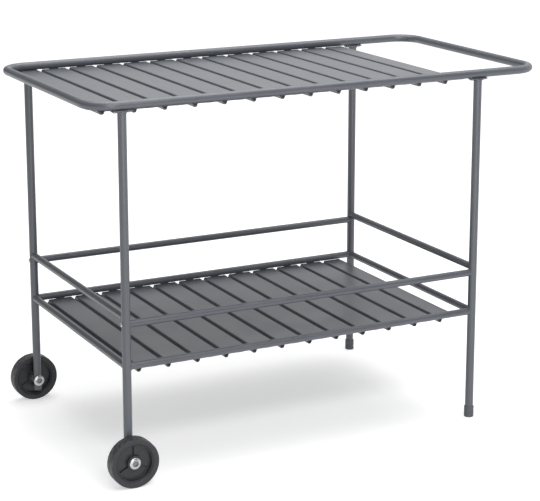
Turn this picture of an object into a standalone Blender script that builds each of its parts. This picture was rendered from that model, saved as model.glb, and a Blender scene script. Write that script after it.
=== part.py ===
"""Two-tier serving trolley: a tubular steel cart with a pull-handle loop, two grooved
sheet-metal decks, guard rails round the lower shelf, two wheels and two feet.

Frame: metres, +Z up, +X towards the pull handle, wheels at the -X end. The origin lies on
the floor under the middle of the top loop.
"""
import math

import bpy
import bmesh
from mathutils import Matrix, Vector

# ------------------------------------------------------------------ driving dimensions
GAP = 0.0003                    # left between pieces that touch

LEG_PITCH_X = 0.870             # between leg axes, along the trolley
LEG_PITCH_Y = 0.566             # between leg axes, across it
HANDLE_REACH = 0.165            # right leg axis to the handle bar's centre line
TAIL_REACH = 0.065              # left leg axis to the tail bar's centre line
LOOP_Z = 0.820                  # centre line of the top loop
LOOP_CORNER_R = 0.055           # its bend, on the centre line

MAIN_R = 0.0095                 # legs and top loop: 19 mm tube
MAIN_WALL = 0.0012
RAIL_R = 0.0080                 # shelf frame and guard rails: 16 mm tube
RAIL_WALL = 0.0010

SHELF_Z = 0.260                 # centre line of the lower shelf's frame
GUARD_Z = 0.3535                # front and back guard rails
SIDE_GUARD_Z = 0.366            # left and right guard rails

SHEET = 0.0010                  # deck sheet
FIRST_GROOVE_REACH = 0.0286     # left leg axis to the shelf's first groove
GROOVE_WIDTH = 0.0110           # at the sheet's top face, before its folds are rounded
GROOVE_FLOOR = 0.0060           # at the groove's bottom, likewise
GROOVE_DEPTH = 0.0072
FOLD_R = 0.0018                 # rounding of each fold
FOLD_STEPS = 2
FOLD_ANGLE = math.radians(20)   # edges that turn further than this are folds
DECK_SETBACK = 0.036            # right leg axis to the right edge of both decks
TOP_GROOVES = 13
SHELF_GROOVES = 12
LAST_GROOVE_TO_EDGE = 0.0497    # last groove to the deck's right edge
DECK_TUCK = 0.0020              # how far short of a tube's centre line a deck under it ends

PLATE_THICK = 0.003             # flange plate on top of a leg
PLATE_CORNER_R = 0.003
PLATE_MARGIN = 0.0015           # how far inside the loop tube's sides the plate's long edges lie
PLATE_END = 0.0065              # screw's axis to the plate's short edge
SCREW_TO_LEG = 0.0020           # clearance between a screw's head and the leg
SCREW_R = 0.0025
SCREW_HEAD_R = 0.0045
SCREW_HEAD_H = 0.0026
SCREW_HEAD_EDGE = 0.00065       # height of a head's rim, below its dome
SCREW_REACH = 0.009             # shank above the plate

GUARD_BOLT_R = 0.0025
GUARD_BOLT_HEAD_R = 0.0047
GUARD_BOLT_HEAD_H = 0.0025
GUARD_BOLT_HEAD_EDGE = 0.00075
GUARD_BOLT_GRIP = 0.0112        # how far the bolt enters its insert
INSERT_LENGTH = 0.014           # threaded plug in a guard rail's end

WHEEL_R = 0.055
WHEEL_WIDTH = 0.026
TYRE_SHOULDER = 0.005           # rounding of the tread's edges
RIM_R = 0.0415                  # seat of the tyre
RIM_WIDTH = 0.021
RIM_WALL = 0.0026
WEB_THICK = 0.0035
HUB_R = 0.0165
HUB_FACE = 0.0095               # wheel's middle plane to the hub's outboard face
SPOKES = 3
SPOKE_THICK = 0.0018
SPOKE_HEIGHT = 0.0045           # above the web, on both sides
BUSH_R = 0.0060
SPACER_R = 0.0105
SPACER_THICK = 0.0030
AXLE_R = 0.0040
AXLE_THREAD_R = 0.0030
AXLE_HEAD_R = 0.0130
AXLE_HEAD_H = 0.0045
AXLE_HEAD_EDGE = 0.001575
NUT_SLEEVE_R = 0.0050
NUT_SLEEVE_LENGTH = 0.0120
SOCKET_R = 0.0065               # hexagonal key socket, across its corners
SOCKET_DEPTH = 0.0022
RUNNING_CLEARANCE = 0.0003
LEG_BELOW_AXLE = 0.024          # wheel legs end this far under the axle

FOOT_CAP_WALL = 0.0016
FOOT_CAP_HEIGHT = 0.027
FOOT_CAP_FLOOR = 0.004
FOOT_CAP_CHAMFER = 0.0012
PLUG_RIM = 0.0020
PLUG_STEM = 0.0100

TUBE_SIDES = 16
LOOP_SIDES = 12
CORNER_STEPS = 6
WHEEL_STEPS = 32
FASTENER_STEPS = 12
DOME_STEPS = 3
AXLE_DOME_STEPS = 4
SHOULDER_STEPS = 4
PLATE_CORNER_STEPS = 3
SMOOTH_ANGLE = math.radians(35)

# ------------------------------------------------------------------ places worked out
CENTRE_X = (HANDLE_REACH - TAIL_REACH) / 2
LEFT_X = -LEG_PITCH_X / 2 - CENTRE_X
RIGHT_X = LEG_PITCH_X / 2 - CENTRE_X
FRONT_Y = -LEG_PITCH_Y / 2
BACK_Y = LEG_PITCH_Y / 2
TAIL_X = LEFT_X - TAIL_REACH
HANDLE_X = RIGHT_X + HANDLE_REACH
DECK_RIGHT_X = RIGHT_X - DECK_SETBACK
LAST_GROOVE_X = DECK_RIGHT_X - LAST_GROOVE_TO_EDGE
GROOVE_PITCH = (LAST_GROOVE_X - LEFT_X - FIRST_GROOVE_REACH) / (SHELF_GROOVES - 1)
TOP_DECK_Z = LOOP_Z - MAIN_R - GAP
SHELF_DECK_Z = SHELF_Z - RAIL_R - GAP
PLATE_SCREW_PITCH = 2 * (MAIN_R + SCREW_TO_LEG + SCREW_HEAD_R)
PLATE_LENGTH = PLATE_SCREW_PITCH + 2 * PLATE_END
PLATE_WIDTH = 2 * (MAIN_R - PLATE_MARGIN)
PLATE_TOP_Z = LOOP_Z - MAIN_R - GAP
LEG_TOP_Z = PLATE_TOP_Z - PLATE_THICK - GAP
WHEEL_LEG_END_Z = WHEEL_R - LEG_BELOW_AXLE
FOOT_LEG_END_Z = FOOT_CAP_FLOOR + GAP
WHEEL_OFFSET = MAIN_R + GAP + SPACER_THICK + GAP + WHEEL_WIDTH / 2
MAIN_BORE = MAIN_R - MAIN_WALL
FOOT_CAP_R = MAIN_R + GAP + FOOT_CAP_WALL
LONG = 0.2                      # a cutter longer than anything it passes through locally

# colour, roughness, metallic
FINISHES = {
    "powder_coat": ((0.115, 0.125, 0.140), 0.45, 0.3),
    "zinc": ((0.72, 0.72, 0.70), 0.25, 1.0),
    "rubber": ((0.035, 0.035, 0.038), 0.75, 0.0),
    "black_plastic": ((0.030, 0.030, 0.032), 0.45, 0.0),
    "grey_plastic": ((0.090, 0.095, 0.105), 0.55, 0.0),
    "nylon": ((0.60, 0.60, 0.56), 0.50, 0.0),
}

CORNERS = {
    "front_left": (LEFT_X, FRONT_Y),
    "back_left": (LEFT_X, BACK_Y),
    "front_right": (RIGHT_X, FRONT_Y),
    "back_right": (RIGHT_X, BACK_Y),
}
WHEEL_CORNERS = ("front_left", "back_left")
FOOT_CORNERS = ("front_right", "back_right")


# ------------------------------------------------------------------ helpers
def clear_scene():
    for obj in list(bpy.data.objects):
        bpy.data.objects.remove(obj, do_unlink=True)


def new_collection(name):
    collection = bpy.data.collections.new(name)
    bpy.context.scene.collection.children.link(collection)
    return collection


def finish_material(name):
    material = bpy.data.materials.get(name)
    if material is None:
        colour, roughness, metallic = FINISHES[name]
        material = bpy.data.materials.new(name)
        material.use_nodes = True
        shader = material.node_tree.nodes["Principled BSDF"]
        shader.inputs["Base Color"].default_value = (*colour, 1.0)
        shader.inputs["Roughness"].default_value = roughness
        shader.inputs["Metallic"].default_value = metallic
    return material


def add_object(name, data, collection, finish=None):
    obj = bpy.data.objects.new(name, data)
    collection.objects.link(obj)
    if finish is not None:
        # each part has a material of its own, a copy of its finish
        material = finish_material(finish).copy()
        material.name = f"{name}_{finish}"
        data.materials.append(material)
    return obj


def mesh_from(name, bm):
    mesh = bpy.data.meshes.new(name)
    bm.to_mesh(mesh)
    bm.free()
    return mesh


def smooth(mesh):
    mesh.shade_smooth()
    mesh.set_sharp_from_angle(angle=SMOOTH_ANGLE)


def mark_cutter(obj):
    obj.hide_render = True
    obj.display_type = "WIRE"
    return obj


def baked(obj, collection, finish=None):
    """Replaces a curve by its mesh, with the caps welded."""
    depsgraph = bpy.context.evaluated_depsgraph_get()
    mesh = bpy.data.meshes.new_from_object(obj.evaluated_get(depsgraph))
    bm = bmesh.new()
    bm.from_mesh(mesh)
    bmesh.ops.remove_doubles(bm, verts=bm.verts, dist=1e-6)
    bm.to_mesh(mesh)
    bm.free()
    name = obj.name
    place = obj.matrix_world.copy()
    bpy.data.objects.remove(obj, do_unlink=True)
    result = add_object(name, mesh, collection, finish)
    result.matrix_world = place
    return result


def boolean(obj, cutter, operation="DIFFERENCE"):
    modifier = obj.modifiers.new(f"{operation.lower()}_{cutter.name}", "BOOLEAN")
    modifier.operation = operation
    modifier.solver = "EXACT"
    modifier.object = cutter


def rod(name, start, end, radius, collection, sides=TUBE_SIDES):
    """A straight round bar between two points, from a cylinder primitive."""
    start, end = Vector(start), Vector(end)
    bm = bmesh.new()
    bmesh.ops.create_cone(bm, cap_ends=True, segments=sides, radius1=radius, radius2=radius,
                          depth=(end - start).length)
    turn = (end - start).to_track_quat("Z", "Y").to_matrix().to_4x4()
    bmesh.ops.transform(bm, matrix=Matrix.Translation((start + end) / 2) @ turn, verts=bm.verts)
    return add_object(name, mesh_from(name, bm), collection)


def box(name, size, centre, collection, finish=None, turn_z=0.0):
    bm = bmesh.new()
    bmesh.ops.create_cube(bm, size=1.0)
    place = Matrix.Translation(centre) @ Matrix.Rotation(turn_z, 4, "Z") @ Matrix.Diagonal((*size, 1.0))
    bmesh.ops.transform(bm, matrix=place, verts=bm.verts)
    return add_object(name, mesh_from(name, bm), collection, finish)


def turned(name, profile, collection, finish=None, closed=False, steps=TUBE_SIDES,
           location=(0, 0, 0), rotation=(0, 0, 0)):
    """A solid of revolution. The profile holds (radius, height) pairs down its outer side."""
    bm = bmesh.new()
    verts = [bm.verts.new((radius, 0.0, height)) for radius, height in profile]
    pairs = list(zip(verts, verts[1:]))
    if closed:
        pairs.append((verts[-1], verts[0]))
    for pair in pairs:
        bm.edges.new(pair)
    obj = add_object(name, mesh_from(name, bm), collection, finish)
    screw = obj.modifiers.new("turn", "SCREW")
    screw.angle = math.tau
    screw.steps = steps
    screw.render_steps = steps
    screw.use_merge_vertices = True
    screw.merge_threshold = 1e-6
    screw.use_smooth_shade = True
    obj.location = location
    obj.rotation_euler = rotation
    return obj


def tube_along(name, start, end, radius, wall, collection, finish):
    """A straight hollow tube, open at both ends."""
    start, end = Vector(start), Vector(end)
    length = (end - start).length
    bore = radius - wall
    profile = [(radius, length), (radius, 0.0), (bore, 0.0), (bore, length)]
    turn = (end - start).to_track_quat("Z", "Y").to_euler()
    return turned(name, profile, collection, finish, closed=True, location=start, rotation=turn)


def arc(centre, radius, start_deg, end_deg, steps):
    """Points on an arc in the XY plane, both ends included."""
    angles = [math.radians(start_deg + (end_deg - start_deg) * i / steps) for i in range(steps + 1)]
    return [(centre[0] + radius * math.cos(a), centre[1] + radius * math.sin(a)) for a in angles]


def dome(radius, edge_height, height, steps=DOME_STEPS):
    """(radius, height) pairs of a low dome, from its crown on the axis down to its edge."""
    rise = height - edge_height
    return [(radius * math.sin(math.pi / 2 * i / steps),
             edge_height + rise * math.cos(math.pi / 2 * i / steps)) for i in range(steps + 1)]


# ------------------------------------------------------------------ top loop and decks
def loop_path():
    r = LOOP_CORNER_R
    points = []
    points += arc((TAIL_X + r, FRONT_Y + r), r, 180, 270, CORNER_STEPS)
    points += arc((HANDLE_X - r, FRONT_Y + r), r, 270, 360, CORNER_STEPS)
    points += arc((HANDLE_X - r, BACK_Y - r), r, 0, 90, CORNER_STEPS)
    points += arc((TAIL_X + r, BACK_Y - r), r, 90, 180, CORNER_STEPS)
    return points


def loop_tube(name, radius, collection, finish=None):
    path = loop_path()
    curve = bpy.data.curves.new(name, "CURVE")
    curve.dimensions = "3D"
    curve.bevel_depth = radius
    curve.bevel_resolution = (LOOP_SIDES - 4) // 2
    curve.use_fill_caps = True
    spline = curve.splines.new("POLY")
    spline.points.add(len(path) - 1)
    for point, (x, y) in zip(spline.points, path):
        point.co = (x, y, LOOP_Z, 1.0)
    spline.use_cyclic_u = True
    obj = baked(add_object(name, curve, collection), collection, finish)
    smooth(obj.data)
    return obj


def screw_places():
    """Each leg plate's two screws: name, x, y."""
    for corner, (x, y) in CORNERS.items():
        yield f"{corner}_a", x - PLATE_SCREW_PITCH / 2, y
        yield f"{corner}_b", x + PLATE_SCREW_PITCH / 2, y


def build_loop(parts, cutters):
    loop = loop_tube("top_frame_loop", MAIN_R, parts, "powder_coat")
    boolean(loop, mark_cutter(loop_tube("loop_bore", MAIN_BORE, cutters)))
    for name, x, y in screw_places():
        hole = rod(f"loop_hole_{name}", (x, y, LOOP_Z - 2 * MAIN_R), (x, y, LOOP_Z), SCREW_R + GAP, cutters,
                   FASTENER_STEPS)
        boolean(loop, mark_cutter(hole))


def grooved_sheet(name, start_x, end_x, top_z, grooves, collection, finish):
    """A sheet whose grooves run across the trolley, longer and wider than the finished deck."""
    half_top, half_floor = GROOVE_WIDTH / 2, GROOVE_FLOOR / 2
    section = [(start_x, top_z)]
    for i in range(grooves):
        x = LAST_GROOVE_X - GROOVE_PITCH * (grooves - 1 - i)
        section += [(x - half_top, top_z), (x - half_floor, top_z - GROOVE_DEPTH),
                    (x + half_floor, top_z - GROOVE_DEPTH), (x + half_top, top_z)]
    section.append((end_x, top_z))
    bm = bmesh.new()
    verts = [bm.verts.new((x, -LEG_PITCH_Y, z)) for x, z in section]
    edges = [bm.edges.new(pair) for pair in zip(verts, verts[1:])]
    grown = bmesh.ops.extrude_edge_only(bm, edges=edges)["geom"]
    new_verts = [item for item in grown if isinstance(item, bmesh.types.BMVert)]
    bmesh.ops.translate(bm, verts=new_verts, vec=(0.0, 2 * LEG_PITCH_Y, 0.0))
    bmesh.ops.recalc_face_normals(bm, faces=bm.faces)
    if sum(face.normal.z for face in bm.faces) < 0:
        bmesh.ops.reverse_faces(bm, faces=bm.faces)
    obj = add_object(name, mesh_from(name, bm), collection, finish)
    fold = obj.modifiers.new("folds", "BEVEL")
    fold.width = FOLD_R
    fold.segments = FOLD_STEPS
    fold.limit_method = "ANGLE"
    fold.angle_limit = FOLD_ANGLE
    solidify = obj.modifiers.new("sheet", "SOLIDIFY")
    solidify.thickness = SHEET
    solidify.offset = -1.0
    solidify.use_even_offset = True
    return obj


def outline_block(name, outline, z, height, collection):
    """A flat outline made a block, centred on z."""
    curve = bpy.data.curves.new(name, "CURVE")
    curve.dimensions = "2D"
    curve.fill_mode = "BOTH"
    curve.extrude = height / 2
    spline = curve.splines.new("POLY")
    spline.points.add(len(outline) - 1)
    for point, (x, y) in zip(spline.points, outline):
        point.co = (x, y, 0.0, 1.0)
    spline.use_cyclic_u = True
    obj = add_object(name, curve, collection)
    obj.location.z = z
    bpy.context.view_layer.update()
    return mark_cutter(baked(obj, collection))


def build_top_deck(parts, cutters):
    """The top deck lies under the loop, notched round the two wheel legs' plates."""
    r = LOOP_CORNER_R - DECK_TUCK
    left, front, back = TAIL_X + DECK_TUCK, FRONT_Y + DECK_TUCK, BACK_Y - DECK_TUCK
    outline = [(DECK_RIGHT_X, front), (DECK_RIGHT_X, back)]
    outline += arc((left + r, back - r), r, 90, 180, CORNER_STEPS)
    outline += arc((left + r, front + r), r, 180, 270, CORNER_STEPS)
    deck = grooved_sheet("top_deck", TAIL_X, RIGHT_X, TOP_DECK_Z, TOP_GROOVES, parts, "powder_coat")
    boolean(deck, outline_block("top_deck_outline", outline, TOP_DECK_Z, LONG, cutters), "INTERSECT")
    for corner in WHEEL_CORNERS:
        x, y = CORNERS[corner]
        notch = box(f"top_notch_{corner}", (PLATE_LENGTH + 2 * GAP, PLATE_WIDTH + 2 * GAP, LONG),
                    (x, y, TOP_DECK_Z), cutters)
        boolean(deck, mark_cutter(notch))


def build_shelf_deck(parts, cutters):
    """The shelf deck lies under its frame tubes, notched round the two wheel legs."""
    left = LEFT_X + DECK_TUCK
    front, back = FRONT_Y + DECK_TUCK, BACK_Y - DECK_TUCK
    outline = [(left, front), (DECK_RIGHT_X, front), (DECK_RIGHT_X, back), (left, back)]
    deck = grooved_sheet("shelf_deck", LEFT_X - MAIN_R, RIGHT_X, SHELF_DECK_Z, SHELF_GROOVES, parts,
                         "powder_coat")
    boolean(deck, outline_block("shelf_deck_outline", outline, SHELF_DECK_Z, LONG, cutters), "INTERSECT")
    for corner in WHEEL_CORNERS:
        x, y = CORNERS[corner]
        notch = rod(f"shelf_notch_{corner}", (x, y, SHELF_Z - LONG / 2), (x, y, SHELF_Z + LONG / 2),
                    MAIN_R + GAP, cutters)
        boolean(deck, mark_cutter(notch))


# ------------------------------------------------------------------ legs
def build_leg(corner, parts, cutters):
    x, y = CORNERS[corner]
    on_wheels = corner in WHEEL_CORNERS
    foot_z = WHEEL_LEG_END_Z if on_wheels else FOOT_LEG_END_Z
    leg = tube_along(f"leg_{corner}", (x, y, foot_z), (x, y, LEG_TOP_Z), MAIN_R, MAIN_WALL, parts,
                     "powder_coat")
    if on_wheels:
        outboard = -1 if y < 0 else 1
        bolt_hole = rod(f"guard_bolt_hole_{corner}", (x - 2 * MAIN_R, y, GUARD_Z),
                        (x + 2 * MAIN_R, y, GUARD_Z), GUARD_BOLT_R + GAP, cutters, FASTENER_STEPS)
        boolean(leg, mark_cutter(bolt_hole))
        axle_hole = rod(f"axle_hole_{corner}", (x, y, WHEEL_R), (x, y + outboard * 2 * MAIN_R, WHEEL_R),
                        AXLE_R + GAP, cutters, FASTENER_STEPS)
        sleeve_hole = rod(f"sleeve_hole_{corner}", (x, y, WHEEL_R), (x, y - outboard * 2 * MAIN_R, WHEEL_R),
                          NUT_SLEEVE_R + GAP, cutters, FASTENER_STEPS)
        boolean(leg, mark_cutter(axle_hole))
        boolean(leg, mark_cutter(sleeve_hole))


def build_leg_plate(corner, parts, cutters):
    x, y = CORNERS[corner]
    name = f"leg_plate_{corner}"
    bm = bmesh.new()
    bmesh.ops.create_cube(bm, size=1.0)
    bmesh.ops.scale(bm, vec=(PLATE_LENGTH, PLATE_WIDTH, PLATE_THICK), verts=bm.verts)
    upright = [e for e in bm.edges if abs(e.verts[0].co.z - e.verts[1].co.z) > PLATE_THICK / 2]
    bmesh.ops.bevel(bm, geom=upright, offset=PLATE_CORNER_R, segments=PLATE_CORNER_STEPS, profile=0.5,
                    affect="EDGES")
    plate = add_object(name, mesh_from(name, bm), parts, "powder_coat")
    plate.location = (x, y, PLATE_TOP_Z - PLATE_THICK / 2)
    for side in (-1, 1):
        hole_x = x + side * PLATE_SCREW_PITCH / 2
        hole = rod(f"{name}_hole_{'a' if side < 0 else 'b'}", (hole_x, y, LEG_TOP_Z - PLATE_THICK),
                   (hole_x, y, PLATE_TOP_Z + PLATE_THICK), SCREW_R + GAP, cutters, FASTENER_STEPS)
        boolean(plate, mark_cutter(hole))


def build_plate_screw(name, x, y, parts):
    """A button-head screw, driven upwards through the leg plate into the loop."""
    length = GAP + PLATE_THICK + SCREW_REACH
    profile = dome(SCREW_HEAD_R, SCREW_HEAD_EDGE, SCREW_HEAD_H)
    profile += [(SCREW_HEAD_R, 0.0), (SCREW_R, 0.0), (SCREW_R, -length), (0.0, -length)]
    turned(f"plate_screw_{name}", profile, parts, "zinc", steps=FASTENER_STEPS,
           location=(x, y, PLATE_TOP_Z - PLATE_THICK - GAP), rotation=(math.pi, 0, 0))


def build_foot_cap(corner, parts):
    """A cup that the leg's end stands in."""
    x, y = CORNERS[corner]
    bore = MAIN_R + GAP
    profile = [
        (0.0, FOOT_CAP_FLOOR), (bore, FOOT_CAP_FLOOR), (bore, FOOT_CAP_HEIGHT),
        (FOOT_CAP_R - FOOT_CAP_CHAMFER / 2, FOOT_CAP_HEIGHT),
        (FOOT_CAP_R, FOOT_CAP_HEIGHT - FOOT_CAP_CHAMFER), (FOOT_CAP_R, FOOT_CAP_CHAMFER),
        (FOOT_CAP_R - FOOT_CAP_CHAMFER, 0.0), (0.0, 0.0),
    ]
    turned(f"foot_cap_{corner}", profile, parts, "grey_plastic", location=(x, y, 0.0))


def build_end_plug(corner, parts):
    """A plug in the open lower end of a wheel leg, with a rim as wide as the tube."""
    x, y = CORNERS[corner]
    stem_r = MAIN_BORE - GAP
    profile = [(0.0, PLUG_STEM), (stem_r, PLUG_STEM), (stem_r, 0.0), (MAIN_R, 0.0),
               (MAIN_R, -PLUG_RIM / 2), (MAIN_R - PLUG_RIM / 2, -PLUG_RIM), (0.0, -PLUG_RIM)]
    turned(f"leg_end_plug_{corner}", profile, parts, "black_plastic",
           location=(x, y, WHEEL_LEG_END_Z - GAP))


# ------------------------------------------------------------------ rails between the legs
def leg_cope(name, x, y, z, cutters):
    """A cutter of a leg's size that shapes a rail's end to the leg's side."""
    return mark_cutter(rod(name, (x, y, z - LONG / 2), (x, y, z + LONG / 2), MAIN_R + GAP, cutters))


def build_rail(name, corner_a, corner_b, z, parts, cutters):
    start, end = (*CORNERS[corner_a], z), (*CORNERS[corner_b], z)
    rail = tube_along(name, start, end, RAIL_R, RAIL_WALL, parts, "powder_coat")
    boolean(rail, leg_cope(f"{name}_cope_a", *start, cutters))
    boolean(rail, leg_cope(f"{name}_cope_b", *end, cutters))
    return rail


def clear_of_long_rails(rail, cutters):
    """Keeps a shelf rail across the trolley clear of the two long ones, where their ends are near."""
    for y in (FRONT_Y, BACK_Y):
        long_rail = rod(f"{rail.name}_clearance_{'front' if y < 0 else 'back'}", (LEFT_X, y, SHELF_Z),
                        (RIGHT_X, y, SHELF_Z), RAIL_R + GAP, cutters)
        boolean(rail, mark_cutter(long_rail))


def build_guard_fixing(corner, parts):
    """The bolt through a wheel leg and the threaded plug that it enters in the guard rail's end."""
    x, y = CORNERS[corner]
    insert_start = MAIN_R + 2 * GAP
    insert_r = RAIL_R - RAIL_WALL - GAP
    bore = GUARD_BOLT_R + GAP
    turned(f"guard_insert_{corner}",
           [(insert_r, INSERT_LENGTH), (insert_r, 0.0), (bore, 0.0), (bore, INSERT_LENGTH)],
           parts, "zinc", closed=True, steps=FASTENER_STEPS,
           location=(x + insert_start, y, GUARD_Z), rotation=(0, math.pi / 2, 0))
    shank = MAIN_R + insert_start + GUARD_BOLT_GRIP
    profile = dome(GUARD_BOLT_HEAD_R, GUARD_BOLT_HEAD_EDGE, GUARD_BOLT_HEAD_H)
    profile += [(GUARD_BOLT_HEAD_R, 0.0), (GUARD_BOLT_R, 0.0), (GUARD_BOLT_R, -shank), (0.0, -shank)]
    turned(f"guard_bolt_{corner}", profile, parts, "zinc", steps=FASTENER_STEPS,
           location=(x - MAIN_R - GAP, y, GUARD_Z), rotation=(0, -math.pi / 2, 0))


# ------------------------------------------------------------------ wheels
def tyre_profile():
    """A closed section: a tread with round shoulders, sides that narrow down to the rim."""
    half = WHEEL_WIDTH / 2
    bead_half = RIM_WIDTH / 2
    r = TYRE_SHOULDER
    upper = arc((WHEEL_R - r, half - r), r, 90, 0, SHOULDER_STEPS)
    lower = [(radius, -height) for radius, height in reversed(upper)]
    inner = RIM_R + GAP
    return [(inner, bead_half)] + upper + lower + [(inner, -bead_half)]


def rim_profile():
    half = RIM_WIDTH / 2
    web = WEB_THICK / 2
    inner = RIM_R - RIM_WALL
    bore = BUSH_R + GAP
    back = -WHEEL_WIDTH / 2
    return [(RIM_R, half), (RIM_R, -half), (inner, -half), (inner, -web), (HUB_R, -web), (HUB_R, back),
            (bore, back), (bore, HUB_FACE), (HUB_R, HUB_FACE), (HUB_R, web), (inner, web), (inner, half)]


def hex_socket(name, face_height, location, rotation, cutters):
    socket = rod(name, (0, 0, face_height - SOCKET_DEPTH), (0, 0, face_height + SOCKET_DEPTH), SOCKET_R,
                 cutters, 6)
    socket.location = location
    socket.rotation_euler = rotation
    return mark_cutter(socket)


def build_wheel(name, corner, parts, cutters):
    """One wheel on its bolt. Heights run outboard from the wheel's middle plane."""
    x, y = CORNERS[corner]
    outboard = -1 if y < 0 else 1
    turn = (-outboard * math.pi / 2, 0, 0)
    inboard_turn = (outboard * math.pi / 2, 0, 0)
    hub = (x, y + outboard * WHEEL_OFFSET, WHEEL_R)

    turned(f"{name}_tyre", tyre_profile(), parts, "rubber", closed=True, steps=WHEEL_STEPS,
           location=hub, rotation=turn)
    rim = turned(f"{name}_wheel_rim", rim_profile(), parts, "black_plastic", closed=True,
                 steps=WHEEL_STEPS, location=hub, rotation=turn)
    for i in range(SPOKES):
        angle = math.radians(90) + math.tau * i / SPOKES
        middle = (HUB_R + RIM_R - RIM_WALL) / 2     # the rib's ends lie inside the hub and the rim wall
        spoke = box(f"{name}_spoke_{i}", (RIM_R - HUB_R, SPOKE_THICK, WEB_THICK + 2 * SPOKE_HEIGHT),
                    (middle * math.cos(angle), middle * math.sin(angle), 0.0), cutters, turn_z=angle)
        spoke.location = hub
        spoke.rotation_euler = turn
        boolean(rim, mark_cutter(spoke), "UNION")

    bush_bore = AXLE_R + RUNNING_CLEARANCE
    half = WHEEL_WIDTH / 2
    turned(f"{name}_wheel_bush",
           [(BUSH_R, HUB_FACE), (BUSH_R, -half), (bush_bore, -half), (bush_bore, HUB_FACE)],
           parts, "nylon", closed=True, location=hub, rotation=turn)

    spacer_y = y + outboard * (MAIN_R + GAP)
    turned(f"{name}_wheel_spacer",
           [(SPACER_R, SPACER_THICK), (SPACER_R, 0.0), (bush_bore, 0.0), (bush_bore, SPACER_THICK)],
           parts, "zinc", closed=True, location=(x, spacer_y, WHEEL_R), rotation=turn)

    head_offset = WHEEL_OFFSET + HUB_FACE + GAP     # the leg's axis to the underside of the bolt's head
    head_y = y + outboard * head_offset
    thread_start = head_offset - MAIN_R / 2
    thread_end = head_offset + MAIN_R / 2
    head = dome(AXLE_HEAD_R, AXLE_HEAD_EDGE, AXLE_HEAD_H, steps=AXLE_DOME_STEPS)
    profile = head + [(AXLE_HEAD_R, 0.0), (AXLE_R, 0.0), (AXLE_R, -thread_start),
                      (AXLE_THREAD_R, -thread_start), (AXLE_THREAD_R, -thread_end), (0.0, -thread_end)]
    bolt = turned(f"{name}_axle_bolt", profile, parts, "zinc", location=(x, head_y, WHEEL_R), rotation=turn)
    boolean(bolt, hex_socket(f"{name}_bolt_socket", AXLE_HEAD_H, (x, head_y, WHEEL_R), turn, cutters))

    nut_y = y - outboard * (MAIN_R + GAP)
    sleeve_bore = AXLE_THREAD_R + GAP
    profile = head + [(AXLE_HEAD_R, 0.0), (NUT_SLEEVE_R, 0.0), (NUT_SLEEVE_R, -NUT_SLEEVE_LENGTH),
                      (sleeve_bore, -NUT_SLEEVE_LENGTH), (sleeve_bore, 0.0), (0.0, 0.0)]
    nut = turned(f"{name}_axle_nut", profile, parts, "zinc", location=(x, nut_y, WHEEL_R),
                 rotation=inboard_turn)
    boolean(nut, hex_socket(f"{name}_nut_socket", AXLE_HEAD_H, (x, nut_y, WHEEL_R), inboard_turn, cutters))


# ------------------------------------------------------------------ the trolley
def main():
    clear_scene()
    parts = new_collection("serving_trolley")
    cutters = new_collection("cutters")

    build_loop(parts, cutters)
    build_top_deck(parts, cutters)
    build_shelf_deck(parts, cutters)
    for corner in CORNERS:
        build_leg(corner, parts, cutters)
        build_leg_plate(corner, parts, cutters)
    for name, x, y in screw_places():
        build_plate_screw(name, x, y, parts)

    sides = {
        "front": ("front_left", "front_right", GUARD_Z),
        "back": ("back_left", "back_right", GUARD_Z),
        "left": ("front_left", "back_left", SIDE_GUARD_Z),
        "right": ("front_right", "back_right", SIDE_GUARD_Z),
    }
    for side, (corner_a, corner_b, guard_z) in sides.items():
        shelf_rail = build_rail(f"shelf_rail_{side}", corner_a, corner_b, SHELF_Z, parts, cutters)
        if side in ("left", "right"):
            clear_of_long_rails(shelf_rail, cutters)
        build_rail(f"guard_rail_{side}", corner_a, corner_b, guard_z, parts, cutters)

    for corner in FOOT_CORNERS:
        build_foot_cap(corner, parts)
    for corner in WHEEL_CORNERS:
        build_end_plug(corner, parts)
        build_guard_fixing(corner, parts)
    build_wheel("front", "front_left", parts, cutters)
    build_wheel("back", "back_left", parts, cutters)


main()
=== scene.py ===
"""The looks of a two-tier serving trolley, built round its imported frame.

Every piece stands at its place in the frame: metres, +Z up, +X towards the pull handle, wheels at
the -X end. Each sub-assembly is a class that reads its place from the frame, builds its meshes
with bmesh operators and dresses them with a procedural finish.
"""
import logging
import math
from dataclasses import dataclass
from enum import Enum
from typing import Callable, Iterable, Sequence

import bmesh
import bpy
from mathutils import Matrix, Vector


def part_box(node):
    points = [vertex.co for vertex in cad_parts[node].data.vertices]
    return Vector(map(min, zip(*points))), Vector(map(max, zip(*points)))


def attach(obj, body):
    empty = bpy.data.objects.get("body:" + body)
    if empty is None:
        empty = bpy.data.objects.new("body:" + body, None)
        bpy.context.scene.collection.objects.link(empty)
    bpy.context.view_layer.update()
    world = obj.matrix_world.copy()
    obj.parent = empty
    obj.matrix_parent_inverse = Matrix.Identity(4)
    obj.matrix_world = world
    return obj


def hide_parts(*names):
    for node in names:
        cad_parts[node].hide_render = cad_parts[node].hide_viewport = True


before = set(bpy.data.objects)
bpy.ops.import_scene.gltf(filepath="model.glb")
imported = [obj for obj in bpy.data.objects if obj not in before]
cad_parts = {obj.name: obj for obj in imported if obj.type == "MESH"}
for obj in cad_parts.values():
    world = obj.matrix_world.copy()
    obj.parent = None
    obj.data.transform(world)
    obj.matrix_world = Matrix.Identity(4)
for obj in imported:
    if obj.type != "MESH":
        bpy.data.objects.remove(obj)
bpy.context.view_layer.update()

log = logging.getLogger("trolley")

Mesh = bmesh.types.BMesh
Edges = list[bmesh.types.BMEdge]
Socket = bpy.types.NodeSocket
Profile = list[tuple[float, float]]
Colour = tuple[float, float, float]

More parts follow.
